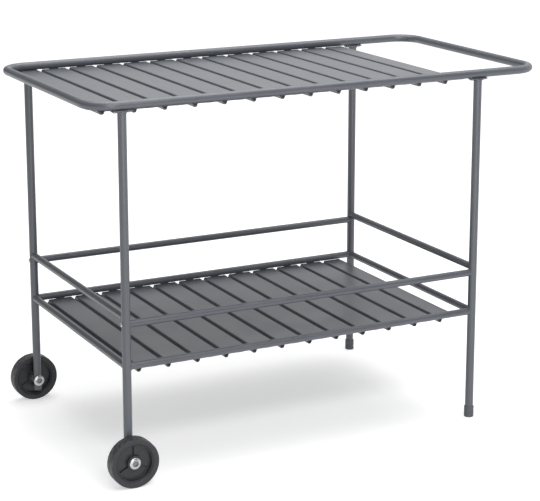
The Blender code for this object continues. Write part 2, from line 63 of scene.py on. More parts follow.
TUBE_STEPS = 48                         # sides of a fine round tube
WHEEL_STEPS = 96
FASTENER_STEPS = 40
DOME_STEPS = 12
KEY_SIDES = 6                           # a key socket is a hexagon
WELD_STEPS = 56
WELD_SIDES = 10                         # sides of a bead's section
SMOOTH_LIMIT = math.radians(32)         # edges that turn further than this stay crisp
SHARP_TURN = math.radians(40)           # edges that get a rounding
CUT_TURN = math.radians(60)             # the edges where a sheet was cut
MERGE = 1e-6
UP = Vector((0, 0, 1))


# ------------------------------------------------------------------ named options
class Slot(Enum):
    """The record's material slots."""

    POWDER_COAT = "powder_coat"
    BRIGHT_STEEL = "bright_steel"
    TYRE_RUBBER = "tyre_rubber"
    BLACK_PLASTIC = "black_plastic"
    GREY_PLASTIC = "grey_plastic"
    NYLON = "nylon"


class Body(Enum):
    """The bodies that pieces ride on."""

    CART = "cart"
    FRONT_WHEEL = "front_wheel"
    BACK_WHEEL = "back_wheel"


class Corner(Enum):
    """The four corners where a leg stands."""

    FRONT_LEFT = "front_left"
    BACK_LEFT = "back_left"
    FRONT_RIGHT = "front_right"
    BACK_RIGHT = "back_right"

    @property
    def axis(self) -> Vector:
        """The point of the floor under the leg's axis."""
        low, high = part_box(f"leg_{self.value}")
        return Vector(((low.x + high.x) / 2, (low.y + high.y) / 2, 0.0))

    @property
    def outward(self) -> int:
        """-1 at the front, 1 at the back: the side of the leg away from the trolley, along Y."""
        return -1 if "front" in self.value else 1

    @property
    def inward(self) -> int:
        """1 at the left, -1 at the right: the side of the leg towards the other legs, along X."""
        return 1 if "left" in self.value else -1

    @property
    def has_wheel(self) -> bool:
        """True where the leg stands on a wheel and not on a foot cap."""
        return "left" in self.value


class Side(Enum):
    """The four sides of the lower shelf, each with the two corners that its rails join."""

    FRONT = (Corner.FRONT_LEFT, Corner.FRONT_RIGHT)
    BACK = (Corner.BACK_LEFT, Corner.BACK_RIGHT)
    LEFT = (Corner.FRONT_LEFT, Corner.BACK_LEFT)
    RIGHT = (Corner.FRONT_RIGHT, Corner.BACK_RIGHT)

    @property
    def word(self) -> str:
        """The side's name as the frame's nodes spell it."""
        return self.name.lower()


class WheelPlace(Enum):
    """The two wheels, each with its leg's corner and the body that it spins with."""

    FRONT = (Corner.FRONT_LEFT, Body.FRONT_WHEEL)
    BACK = (Corner.BACK_LEFT, Body.BACK_WHEEL)

    @property
    def word(self) -> str:
        """The wheel's name as the frame's nodes spell it."""
        return self.name.lower()


# ------------------------------------------------------------------ shapes
def middle_of(node: str) -> Vector:
    """The middle of a frame node's box."""
    low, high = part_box(node)
    return (low + high) / 2


def half_size(node: str, axis: int) -> float:
    """Half the size of a frame node's box along axis 0, 1 or 2: a round node's radius."""
    low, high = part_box(node)
    return (high[axis] - low[axis]) / 2


def linked(name: str, data: bpy.types.ID) -> bpy.types.Object:
    """A new object in the scene.

    Args:
        name: Its name.
        data: The mesh, lamp or camera that it holds.

    Returns:
        The object.
    """
    obj = bpy.data.objects.new(name, data)
    bpy.context.scene.collection.objects.link(obj)
    return obj


def held(name: str, bm: Mesh) -> bpy.types.Object:
    """A new object in the scene that holds a bmesh.

    Args:
        name: Its name and its mesh's name.
        bm: The mesh, which is freed.

    Returns:
        The object.
    """
    mesh = bpy.data.meshes.new(name)
    bm.to_mesh(mesh)
    bm.free()
    return linked(name, mesh)


def modified(obj: bpy.types.Object, *others: bpy.types.Object) -> Mesh:
    """An object's mesh after its modifiers.

    Args:
        obj: The object, which is removed.
        others: What its modifiers use, removed as well.

    Returns:
        The mesh.
    """
    evaluated = obj.evaluated_get(bpy.context.evaluated_depsgraph_get())
    result = bmesh.new()
    result.from_mesh(evaluated.to_mesh())
    evaluated.to_mesh_clear()
    for used in (obj, *others):
        mesh = used.data
        bpy.data.objects.remove(used)
        bpy.data.meshes.remove(mesh)
    return result


def rounded(bm: Mesh, edges: Edges, width: float, segments: int, clamp: bool = True) -> None:
    """Rounds chosen edges of a mesh.

    Args:
        bm: The mesh, which is changed.
        edges: The edges.
        width: The width of the rounding.
        segments: How many strips it has.
        clamp: True to stop roundings where they would overlap.
    """
    bmesh.ops.bevel(bm, geom=edges, offset=width, offset_type="OFFSET", segments=segments, profile=0.5,
                    affect="EDGES", clamp_overlap=clamp, material=-1)


def drawn_out(bm: Mesh, edges: Edges, way: Vector) -> Edges:
    """Draws edges out along a straight way, leaving faces behind them.

    Args:
        bm: The mesh, which is changed.
        edges: The edges to draw from.
        way: How far they go.

    Returns:
        The new edges at the far end.
    """
    grown = bmesh.ops.extrude_edge_only(bm, edges=edges)["geom"]
    verts = [item for item in grown if isinstance(item, bmesh.types.BMVert)]
    bmesh.ops.translate(bm, verts=verts, vec=way)
    fresh = set(verts)
    return [item for item in grown if isinstance(item, bmesh.types.BMEdge) and fresh.issuperset(item.verts)]


def block(size: Vector) -> Mesh:
    """A box centred on the origin.

    Args:
        size: Its size along each axis.

    Returns:
        The box's mesh.
    """
    bm = bmesh.new()
    bmesh.ops.create_cube(bm, size=1.0)
    bmesh.ops.scale(bm, vec=size, verts=bm.verts)
    return bm


def dome(radius: float, height: float, edge: float) -> Profile:
    """The section of a domed head that stands on the origin's plane.

    Args:
        radius: The head's radius.
        height: Its height at the crown.
        edge: The height of its rim, below the dome.

    Returns:
        Points from the crown to the foot of the rim.
    """
    turns = [math.pi / 2 * step / DOME_STEPS for step in range(DOME_STEPS + 1)]
    crown = [(radius * math.sin(turn), edge + (height - edge) * math.cos(turn)) for turn in turns]
    return [*crown, (radius, 0.0)]


def spun(profile: Profile, steps: int, closed: bool = False) -> Mesh:
    """A solid of revolution about +Z.

    Args:
        profile: (radius, height) pairs along the section.
        steps: How many sides the turned shape has.
        closed: True for a section that rings a bore, so that its last point joins its first.

    Returns:
        The turned mesh, closed and with its faces outwards.
    """
    bm = bmesh.new()
    verts = [bm.verts.new((radius, 0.0, height)) for radius, height in profile]
    pairs = list(zip(verts, verts[1:]))
    if closed:
        pairs.append((verts[-1], verts[0]))
    edges = [bm.edges.new(pair) for pair in pairs]
    bmesh.ops.spin(bm, geom=verts + edges, cent=(0, 0, 0), axis=(0, 0, 1), dvec=(0, 0, 0),
                   angle=math.tau, steps=steps, use_merge=True, use_duplicate=False)
    bmesh.ops.remove_doubles(bm, verts=bm.verts, dist=MERGE)
    bmesh.ops.recalc_face_normals(bm, faces=bm.faces)
    return bm


def placed(bm: Mesh, place: Vector, towards: Vector = UP) -> Mesh:
    """Turns a mesh's +Z towards a direction and moves its origin to a point.

    Args:
        bm: The mesh, which is changed.
        place: Where its origin goes.
        towards: Where its +Z points.

    Returns:
        The same mesh.
    """
    turn = Vector(towards).to_track_quat("Z", "Y").to_matrix().to_4x4()
    bmesh.ops.transform(bm, matrix=Matrix.Translation(place) @ turn, verts=bm.verts)
    return bm


def round_off(bm: Mesh, radius: float, segments: int,
              where: Callable[[Vector], bool] = lambda point: True) -> None:
    """Rounds the sharp edges of a mesh.

    Args:
        bm: The mesh, which is changed.
        radius: The width of the rounding.
        segments: How many strips it has.
        where: Picks edges by their middle point.
    """
    sharp = [edge for edge in bm.edges
             if len(edge.link_faces) == 2 and edge.calc_face_angle(0.0) > SHARP_TURN
             and where((edge.verts[0].co + edge.verts[1].co) / 2)]
    rounded(bm, sharp, radius, segments)


def ball_bead(length: float, radius: float, ripples: int, ripple: float = 0.10, blunt: int = 6) -> Mesh:
    """A short straight weld bead along +X, blunt at its ends and rippled along its length.

    Args:
        length: From end to end.
        radius: Half its width.
        ripples: How many solidified waves it has.
        ripple: Their height, as a share of the radius.
        blunt: The power that its width falls off with towards the ends.

    Returns:
        The bead's mesh, centred on its origin.
    """
    bm = bmesh.new()
    bmesh.ops.create_uvsphere(bm, u_segments=WELD_SIDES, v_segments=4 * ripples, radius=1.0)
    for vert in bm.verts:
        along = math.asin(max(-1.0, min(1.0, vert.co.z))) / (math.pi / 2)
        around = Vector((vert.co.x, vert.co.y))
        if around.length > MERGE:
            wave = 1.0 + ripple * math.sin(along * ripples * math.pi)
            around *= (1.0 - along ** blunt) ** 0.5 * wave / around.length
        vert.co = Vector((along * length / 2, around.x * radius, around.y * radius))
    bmesh.ops.recalc_face_normals(bm, faces=bm.faces)
    return bm


def ring_bead(ring_r: float, bead_r: float, post_r: float | None, ripples: int, ripple: float = 0.12) -> Mesh:
    """A weld bead round the end of a tube that runs along +Z from the origin.

    Args:
        ring_r: The tube's radius.
        bead_r: Half the bead's width.
        post_r: The radius of the upright post, along X, that the tube is welded to; None where it
            meets a flat plate.
        ripples: How many solidified waves the bead has.
        ripple: Their height, as a share of the bead's radius.

    Returns:
        The bead's mesh. On a post it follows the saddle where the tube meets it.
    """
    bm = bmesh.new()
    bmesh.ops.create_circle(bm, cap_ends=False, segments=WELD_SIDES, radius=bead_r)
    turn = Matrix.Translation((ring_r, 0, 0)) @ Matrix.Rotation(math.pi / 2, 4, "X")
    bmesh.ops.transform(bm, matrix=turn, verts=bm.verts)
    bmesh.ops.spin(bm, geom=list(bm.verts) + list(bm.edges), cent=(0, 0, 0), axis=(0, 0, 1),
                   dvec=(0, 0, 0), angle=math.tau, steps=WELD_STEPS, use_merge=True, use_duplicate=False)
    bmesh.ops.remove_doubles(bm, verts=bm.verts, dist=MERGE)
    for vert in bm.verts:
        angle = math.atan2(vert.co.y, vert.co.x)
        centre = Vector((math.cos(angle), math.sin(angle), 0.0)) * ring_r
        vert.co = centre + (vert.co - centre) * (1.0 + ripple * math.sin(ripples * angle))
        if post_r is not None:
            reach = min(abs(vert.co.y), ring_r)
            vert.co.z += math.sqrt(max(post_r ** 2 - reach ** 2, 0.0))
    bmesh.ops.recalc_face_normals(bm, faces=bm.faces)
    return bm


def merged(meshes: Iterable[Mesh]) -> Mesh:
    """Several meshes as the separate bodies of one.

    Args:
        meshes: The meshes, which are freed.

    Returns:
        The mesh that holds them all.
    """
    whole = bmesh.new()
    for bm in meshes:
        part = bpy.data.meshes.new("part")
        bm.to_mesh(part)
        bm.free()
        whole.from_mesh(part)
        bpy.data.meshes.remove(part)
    return whole


def combined(bm: Mesh, tool: Mesh, operation: str) -> Mesh:
    """Cuts one solid with another, or joins the two into one solid.

    Args:
        bm: The solid, which is freed.
        tool: The cutter or the addition, which is freed.
        operation: DIFFERENCE or UNION.

    Returns:
        The result as a new mesh.
    """
    stock, cutter = held("stock", bm), held("tool", tool)
    modifier = stock.modifiers.new("cut", "BOOLEAN")
    modifier.operation = operation
    modifier.solver = "EXACT"
    modifier.object = cutter
    result = modified(stock, cutter)
    bmesh.ops.remove_doubles(result, verts=result.verts, dist=MERGE)
    return result


def rod(start: Vector, end: Vector, radius: float, steps: int = FASTENER_STEPS) -> Mesh:
    """A plain round bar, used to drill holes.

    Args:
        start: The middle of its first face.
        end: The middle of its last face.
        radius: Its radius, to its corners.
        steps: How many sides it has.

    Returns:
        The bar's mesh.
    """
    bm = bmesh.new()
    length = (end - start).length
    bmesh.ops.create_cone(bm, cap_ends=True, segments=steps, radius1=radius, radius2=radius, depth=length)
    return placed(bm, (start + end) / 2, end - start)


def publish(name: str, bm: Mesh, finish: "Finish", nodes: Sequence[str] = (),
            body: Body = Body.CART, flats: bool = False) -> bpy.types.Object:
    """Makes a finished mesh a piece of the trolley.

    Args:
        name: The piece's name.
        bm: Its mesh, in the frame's own place. It is freed.
        finish: Its finish.
        nodes: The frame nodes that it stands for.
        body: The body that it rides on.
        flats: True where flat faces meet roundings, so that the flats keep one even shade.

    Returns:
        The piece.
    """
    piece = held(name, bm)
    mesh = piece.data
    mesh.shade_smooth()
    mesh.set_sharp_from_angle(angle=SMOOTH_LIMIT)
    mesh.materials.append(finish.material())
    if flats:
        even = piece.modifiers.new("even_flats", "WEIGHTED_NORMAL")
        even.keep_sharp = True
    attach(piece, body.value)
    if nodes:
        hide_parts(*nodes)
    log.info("%s: %d faces, %s", name, len(mesh.polygons), finish.name)
    return piece


# ------------------------------------------------------------------ shader graphs
class Graph:
    """Adds and joins the nodes of one material or node group."""

    def __init__(self, tree: bpy.types.NodeTree) -> None:
        """Starts from a material's or group's node tree."""
        self.tree = tree

    def add(self, kind: str, inputs: dict[str | int, object] | None = None,
            **settings: object) -> bpy.types.Node:
        """Adds a node.

        Args:
            kind: The node's type, without its ShaderNode prefix.
            inputs: Values or output sockets for its inputs, by name or number.
            settings: Its own properties.

        Returns:
            The node.
        """
        node = self.tree.nodes.new(f"ShaderNode{kind}")
        for key, value in settings.items():
            setattr(node, key, value)
        for key, value in (inputs or {}).items():
            if isinstance(value, Socket):
                self.tree.links.new(value, node.inputs[key])
            else:
                node.inputs[key].default_value = value
        return node

    def math(self, operation: str, first: object, second: object = 0.0, clamp: bool = False) -> Socket:
        """The result of a Math node on two values or sockets, kept from 0 to 1 if clamped."""
        return self.add("Math", {0: first, 1: second}, operation=operation, use_clamp=clamp).outputs[0]

    def mix(self, share: object, first: object, second: object) -> Socket:
        """A value between two values or sockets."""
        return self.add("Mix", {0: share, 2: first, 3: second}, data_type="FLOAT").outputs[0]

    def tint(self, share: object, first: Socket, second: object) -> Socket:
        """A colour between a socket's and another."""
        return self.add("Mix", {0: share, 6: first, 7: second}, data_type="RGBA").outputs[2]

    def ramp(self, value: Socket, low: float, high: float) -> Socket:
        """A value spread smoothly over 0 to 1, from low to high."""
        span = {"Value": value, "From Min": low, "From Max": high}
        return self.add("MapRange", span, interpolation_type="SMOOTHSTEP").outputs["Result"]

    def noise(self, vector: Socket, scale: object, detail: float = 2.0) -> Socket:
        """The value of a noise texture, with its scale and how many finer layers it has."""
        return self.add("TexNoise", {"Vector": vector, "Scale": scale, "Detail": detail}).outputs[0]


def new_group(name: str, inputs: dict[str, tuple[str, object]], outputs: dict[str, str]) -> tuple[
        bpy.types.NodeTree, Graph, bpy.types.Node, bpy.types.Node]:
    """Starts a shared effect as a shader node group.

    Args:
        name: The group's name.
        inputs: Its inputs: name to (socket kind, default value).
        outputs: Its outputs: name to socket kind.

    Returns:
        The tree, a graph on it, its input node and its output node.
    """
    tree = bpy.data.node_groups.new(name, "ShaderNodeTree")
    for label, (kind, value) in inputs.items():
        socket = tree.interface.new_socket(label, in_out="INPUT", socket_type=f"NodeSocket{kind}")
        socket.default_value = value
    for label, kind in outputs.items():
        tree.interface.new_socket(label, in_out="OUTPUT", socket_type=f"NodeSocket{kind}")
    return tree, Graph(tree), tree.nodes.new("NodeGroupInput"), tree.nodes.new("NodeGroupOutput")


def tone_drift_group() -> bpy.types.NodeTree:
    """A colour that drifts between two tones over the surface, in broad clouds with fine flecks.

    Returns:
        The group, built once.
    """
    name = "tone_drift"
    if name in bpy.data.node_groups:
        return bpy.data.node_groups[name]
    tree, graph, entry, leave = new_group(
        name, {"Dark": ("Color", (0, 0, 0, 1)), "Light": ("Color", (1, 1, 1, 1)), "Scale": ("Float", 8.0),
               "Fleck Scale": ("Float", 900.0), "Fleck Share": ("Float", 0.3)},
        {"Color": "Color", "Cloud": "Float"})
    at = graph.add("TexCoord").outputs["Object"]
    cloud = graph.ramp(graph.noise(at, entry.outputs["Scale"], 4.0), 0.3, 0.7)
    fleck = graph.ramp(graph.noise(at, entry.outputs["Fleck Scale"], 1.0), 0.35, 0.65)
    blend = graph.mix(entry.outputs["Fleck Share"], cloud, fleck)
    colour = graph.tint(blend, entry.outputs["Dark"], entry.outputs["Light"])
    tree.links.new(colour, leave.inputs["Color"])
    tree.links.new(cloud, leave.inputs["Cloud"])
    return tree


def surface_grain_group() -> bpy.types.NodeTree:
    """Relief of a coated or moulded skin: fine pimples on a slow orange-peel swell.

    Returns:
        The group, built once.
    """
    name = "surface_grain"
    if name in bpy.data.node_groups:
        return bpy.data.node_groups[name]
    tree, graph, entry, leave = new_group(
        name, {"Grain Scale": ("Float", 1500.0), "Swell Scale": ("Float", 260.0),
               "Swell Share": ("Float", 0.4)}, {"Height": "Float"})
    at = graph.add("TexCoord").outputs["Object"]
    grain = graph.noise(at, entry.outputs["Grain Scale"], 1.0)
    swell = graph.noise(at, entry.outputs["Swell Scale"], 0.0)
    height = graph.mix(entry.outputs["Swell Share"], grain, swell)
    tree.links.new(height, leave.inputs["Height"])
    return tree


def edge_wear_group() -> bpy.types.NodeTree:
    """A mask of rubbed edges: 1 where the surface turns sharply, broken up by noise.

    Returns:
        The group, built once.
    """
    name = "edge_wear"
    if name in bpy.data.node_groups:
        return bpy.data.node_groups[name]
    tree, graph, entry, leave = new_group(
        name, {"Radius": ("Float", 0.0006), "Breakup Scale": ("Float", 320.0), "Amount": ("Float", 0.5)},
        {"Mask": "Float"})
    at = graph.add("TexCoord").outputs["Object"]
    soft = graph.add("Bevel", {"Radius": entry.outputs["Radius"]}, samples=4).outputs[0]
    plain = graph.add("NewGeometry").outputs["Normal"]
    same = graph.add("VectorMath", {0: soft, 1: plain}, operation="DOT_PRODUCT").outputs["Value"]
    turn = graph.ramp(graph.math("SUBTRACT", 1.0, same), 0.01, 0.12)
    rubbed = graph.ramp(graph.noise(at, entry.outputs["Breakup Scale"], 3.0), 0.38, 0.72)
    mask = graph.math("MULTIPLY", graph.math("MULTIPLY", turn, rubbed), entry.outputs["Amount"], clamp=True)
    tree.links.new(mask, leave.inputs["Mask"])
    return tree


def dust_film_group() -> bpy.types.NodeTree:
    """A mask of settled dust: thin and cloudy, on what faces up.

    Returns:
        The group, built once.
    """
    name = "dust_film"
    if name in bpy.data.node_groups:
        return bpy.data.node_groups[name]
    tree, graph, entry, leave = new_group(
        name, {"Scale": ("Float", 30.0), "Amount": ("Float", 0.1)}, {"Mask": "Float"})
    coords = graph.add("TexCoord")
    up = graph.add("SeparateXYZ", {0: coords.outputs["Normal"]}).outputs["Z"]
    facing = graph.ramp(up, 0.35, 0.95)
    cloud = graph.ramp(graph.noise(coords.outputs["Object"], entry.outputs["Scale"], 5.0), 0.35, 0.75)
    mask = graph.math("MULTIPLY", graph.math("MULTIPLY", facing, cloud), entry.outputs["Amount"], clamp=True)
    tree.links.new(mask, leave.inputs["Mask"])
    return tree


def wheel_rings_group() -> bpy.types.NodeTree:
    """Distance from a wheel's axle and a pattern that varies with it alone, as turned marks do.

    Returns:
        The group, built once. Its Vector input has the axle at its origin, along Y.
    """
    name = "wheel_rings"
    if name in bpy.data.node_groups:
        return bpy.data.node_groups[name]
    tree, graph, entry, leave = new_group(
        name, {"Vector": ("Vector", (0, 0, 0)), "Scale": ("Float", 1200.0)},
        {"Radius": "Float", "Rings": "Float"})
    across = {0: entry.outputs["Vector"], 1: (1, 0, 1)}
    flat = graph.add("VectorMath", across, operation="MULTIPLY").outputs[0]
    radius = graph.add("VectorMath", {0: flat}, operation="LENGTH").outputs["Value"]
    along = graph.add("CombineXYZ", {0: radius}).outputs[0]
    rings = graph.noise(along, entry.outputs["Scale"], 2.0)
    tree.links.new(radius, leave.inputs["Radius"])
    tree.links.new(rings, leave.inputs["Rings"])
    return tree


# ------------------------------------------------------------------ finishes
@dataclass(frozen=True)
class Finish:
    """What every finish has: two tones, a sheen, a grain, rubbed edges and a film of dust."""

    name: str
    slot: Slot
    dark: Colour
    light: Colour
    roughness: float
    roughness_drift: float
    specular: float = 0.5
    metallic: float = 0.0
    tone_scale: float = 7.0
    fleck_scale: float = 900.0
    fleck_share: float = 0.3
    grain_scale: float = 1500.0
    swell_scale: float = 260.0
    swell_share: float = 0.4
    relief: float = 0.00004
    wear_colour: Colour = (0.3, 0.3, 0.3)
    wear_radius: float = 0.0006
    wear: float = 0.4
    dust_colour: Colour = (0.42, 0.41, 0.39)
    dust: float = 0.10

    def material(self) -> bpy.types.Material:
        """The finish as a material, built once."""
        found = bpy.data.materials.get(self.name)
        return found or self.build()

    def build(self) -> bpy.types.Material:
        """Builds the material.

        Returns:
            A new material whose nodes follow the finish's values.
        """
        material = bpy.data.materials.new(self.name)
        material.use_nodes = True
        graph = Graph(material.node_tree)
        shader = material.node_tree.nodes["Principled BSDF"]
        shader.inputs["Metallic"].default_value = self.metallic
        shader.inputs["Specular IOR Level"].default_value = self.specular

        tone = graph.add("Group", {
            "Dark": (*self.dark, 1), "Light": (*self.light, 1), "Scale": self.tone_scale,
            "Fleck Scale": self.fleck_scale, "Fleck Share": self.fleck_share}, node_tree=tone_drift_group())
        wear = graph.add("Group", {"Radius": self.wear_radius, "Amount": self.wear},
                         node_tree=edge_wear_group())
        dust = graph.add("Group", {"Amount": self.dust}, node_tree=dust_film_group())
        rubbed = graph.tint(wear.outputs["Mask"], tone.outputs["Color"], (*self.wear_colour, 1))
        dusty = graph.tint(dust.outputs["Mask"], rubbed, (*self.dust_colour, 1))
        drift = graph.math("MULTIPLY", tone.outputs["Cloud"], self.roughness_drift)
        rough = graph.math("ADD", drift, self.roughness)
        rough = graph.math("ADD", rough, dust.outputs["Mask"], clamp=True)

        grain = graph.add("Group", {
            "Grain Scale": self.grain_scale, "Swell Scale": self.swell_scale,
            "Swell Share": self.swell_share}, node_tree=surface_grain_group())
        colour, rough, height = self.detail(graph, dusty, rough, grain.outputs["Height"])
        bump = graph.add("Bump", {"Height": height, "Distance": self.relief, "Strength": 1.0})
        material.node_tree.links.new(colour, shader.inputs["Base Color"])
        material.node_tree.links.new(rough, shader.inputs["Roughness"])
        material.node_tree.links.new(bump.outputs[0], shader.inputs["Normal"])
        return material

    def detail(self, graph: Graph, colour: Socket, rough: Socket,
               height: Socket) -> tuple[Socket, ...]:
        """The colour, roughness and relief after a finish's own nodes; the plain finish adds none."""
        return colour, rough, height


@dataclass(frozen=True)
class WheelFinish(Finish):
    """A finish that follows a wheel's rings, centred on its axle."""

    axle: tuple[float, float, float] = (0.0, 0.0, 0.0)
    ring_scale: float = 1200.0
    ring_share: float = 0.3             # how much of the relief is rings
    ring_sheen: float = 0.10            # how far the rings shift the roughness
    scuff_from: float = 1.0             # radius where floor dust starts
    scuff_full: float = 2.0
    scuff_colour: Colour = (0.16, 0.155, 0.15)
    scuff: float = 0.0
    core_r: float = 0.0                 # radius of the painted shade in a head's middle: its key socket and dished face
    core_full: float = 0.8              # share of that radius where the painted shade is full
    # colour of the painted shade in the socket and the dished face round it
    core_colour: Colour = (0.20, 0.20, 0.22)

    def detail(self, graph: Graph, colour: Socket, rough: Socket,
               height: Socket) -> tuple[Socket, ...]:
        """Adds turned rings to the sheen and the relief, floor dust and painted shade in the middle.

        Args:
            graph: The material's graph.
            colour: The colour so far.
            rough: The roughness so far.
            height: The relief so far.

        Returns:
            The colour, roughness and relief to use.
        """
        at = graph.add("TexCoord").outputs["Object"]
        centred = graph.add("Mapping", {"Vector": at, "Location": tuple(-value for value in self.axle)})
        rings = graph.add("Group", {"Vector": centred.outputs[0], "Scale": self.ring_scale},
                          node_tree=wheel_rings_group())
        streak = rings.outputs["Rings"]
        height = graph.mix(self.ring_share, height, streak)
        shift = graph.math("MULTIPLY", graph.math("SUBTRACT", streak, 0.5), self.ring_sheen)
        rough = graph.math("ADD", rough, shift, clamp=True)
        if self.scuff > 0.0:
            near_floor = graph.ramp(rings.outputs["Radius"], self.scuff_from, self.scuff_full)
            broken = graph.ramp(graph.noise(at, 140.0, 4.0), 0.40, 0.66)
            mask = graph.math("MULTIPLY", graph.math("MULTIPLY", near_floor, broken), self.scuff)
            colour = graph.tint(mask, colour, (*self.scuff_colour, 1))
        # Painted shade: the middle of the head, its socket and dish, is painted darker as if shaded.
        if self.core_r > 0.0:
            inside = graph.ramp(rings.outputs["Radius"], self.core_r, self.core_r * self.core_full)
            colour = graph.tint(inside, colour, (*self.core_colour, 1))
        return colour, rough, height


POWDER_COAT = Finish(
    "anthracite_powder_coat", Slot.POWDER_COAT, dark=(0.074, 0.081, 0.097), light=(0.092, 0.100, 0.118),
    roughness=0.33, roughness_drift=0.06, specular=0.75, relief=0.00005,
    wear_colour=(0.20, 0.21, 0.23), wear_radius=0.0008, wear=0.45, dust=0.05)
BRIGHT_ZINC = Finish(
    "bright_zinc", Slot.BRIGHT_STEEL, dark=(0.42, 0.43, 0.45), light=(0.58, 0.58, 0.59),
    roughness=0.26, roughness_drift=0.12, metallic=1.0, tone_scale=180.0, grain_scale=2600.0,
    relief=0.00001, wear_colour=(0.74, 0.74, 0.73), wear=0.3, dust=0.03)
GREY_MOULDING = Finish(
    "dark_grey_moulding", Slot.GREY_PLASTIC, dark=(0.088, 0.092, 0.104), light=(0.112, 0.117, 0.130),
    roughness=0.48, roughness_drift=0.10, specular=0.45, tone_scale=60.0, grain_scale=2200.0,
    relief=0.00005, wear_colour=(0.13, 0.13, 0.14), wear=0.5, dust=0.08)
BLACK_MOULDING = Finish(
    "black_moulding", Slot.BLACK_PLASTIC, dark=(0.021, 0.022, 0.025), light=(0.033, 0.034, 0.039),
    roughness=0.30, roughness_drift=0.10, specular=0.45, tone_scale=60.0, grain_scale=2200.0,
    relief=0.00004, wear_colour=(0.07, 0.07, 0.075), wear=0.5, dust=0.06)
NATURAL_NYLON = Finish(
    "natural_nylon", Slot.NYLON, dark=(0.55, 0.55, 0.51), light=(0.66, 0.66, 0.62), roughness=0.45,
    roughness_drift=0.10, tone_scale=90.0, relief=0.00003, wear_colour=(0.7, 0.7, 0.66), wear=0.2, dust=0.0)
RUBBER = Finish(
    "black_rubber", Slot.TYRE_RUBBER, dark=(0.027, 0.028, 0.033), light=(0.038, 0.039, 0.046),
    roughness=0.46, roughness_drift=0.12, specular=0.45, tone_scale=40.0, grain_scale=1900.0,
    relief=0.00006, wear_colour=(0.09, 0.09, 0.09), wear_radius=0.001, wear=0.3, dust=0.05)


# ------------------------------------------------------------------ top
@dataclass
class TopLoop:
    """The bent tube that rims the top tray and carries on into the pull handle."""

    corner_r: float = 0.055             # of the tube's centre line
    corner_steps: int = 18

    def build(self) -> None:
        """Bends a ring of the tube's section round the loop and closes it on itself."""
        low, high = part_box("top_frame_loop")
        radius = (high.z - low.z) / 2
        left, front = low.x + radius, low.y + radius
        right, back = high.x - radius, high.y - radius
        middle = (low.z + high.z) / 2
        bm = bmesh.new()
        bmesh.ops.create_circle(bm, cap_ends=False, segments=TUBE_STEPS, radius=radius)
        start = Vector(((left + right) / 2, front, middle))
        placed(bm, start, Vector((1, 0, 0)))
        ring = list(bm.edges)
        inset = self.corner_r
        stops = [(Vector((right - inset, front, middle)), Vector((right - inset, front + inset, middle))),
                 (Vector((right, back - inset, middle)), Vector((right - inset, back - inset, middle))),
                 (Vector((left + inset, back, middle)), Vector((left + inset, back - inset, middle))),
                 (Vector((left, front + inset, middle)), Vector((left + inset, front + inset, middle)))]
        at = start
        for stop, turn_centre in stops:
            ring = drawn_out(bm, ring, stop - at)
            ring = self.turn_corner(bm, ring, turn_centre)
            at = turn_centre + Matrix.Rotation(math.pi / 2, 3, "Z") @ (stop - turn_centre)
        drawn_out(bm, ring, start - at)
        bmesh.ops.remove_doubles(bm, verts=bm.verts, dist=MERGE * 10)
        bmesh.ops.recalc_face_normals(bm, faces=bm.faces)
        publish("loop_tube", bm, POWDER_COAT, ["top_frame_loop"])

    def turn_corner(self, bm: Mesh, ring: Edges,
                    centre: Vector) -> Edges:
        """Bends the tube through a quarter turn.

        Args:
            bm: The tube's mesh.
            ring: The edges of its open end.
            centre: The centre of the bend.

        Returns:
            The edges of the new end.
        """
        verts = list({vert for edge in ring for vert in edge.verts})
        last = bmesh.ops.spin(bm, geom=verts + ring, cent=centre, axis=(0, 0, 1), dvec=(0, 0, 0),
                              angle=math.pi / 2, steps=self.corner_steps, use_merge=False,
                              use_duplicate=False)["geom_last"]
        return [item for item in last if isinstance(item, bmesh.types.BMEdge)]


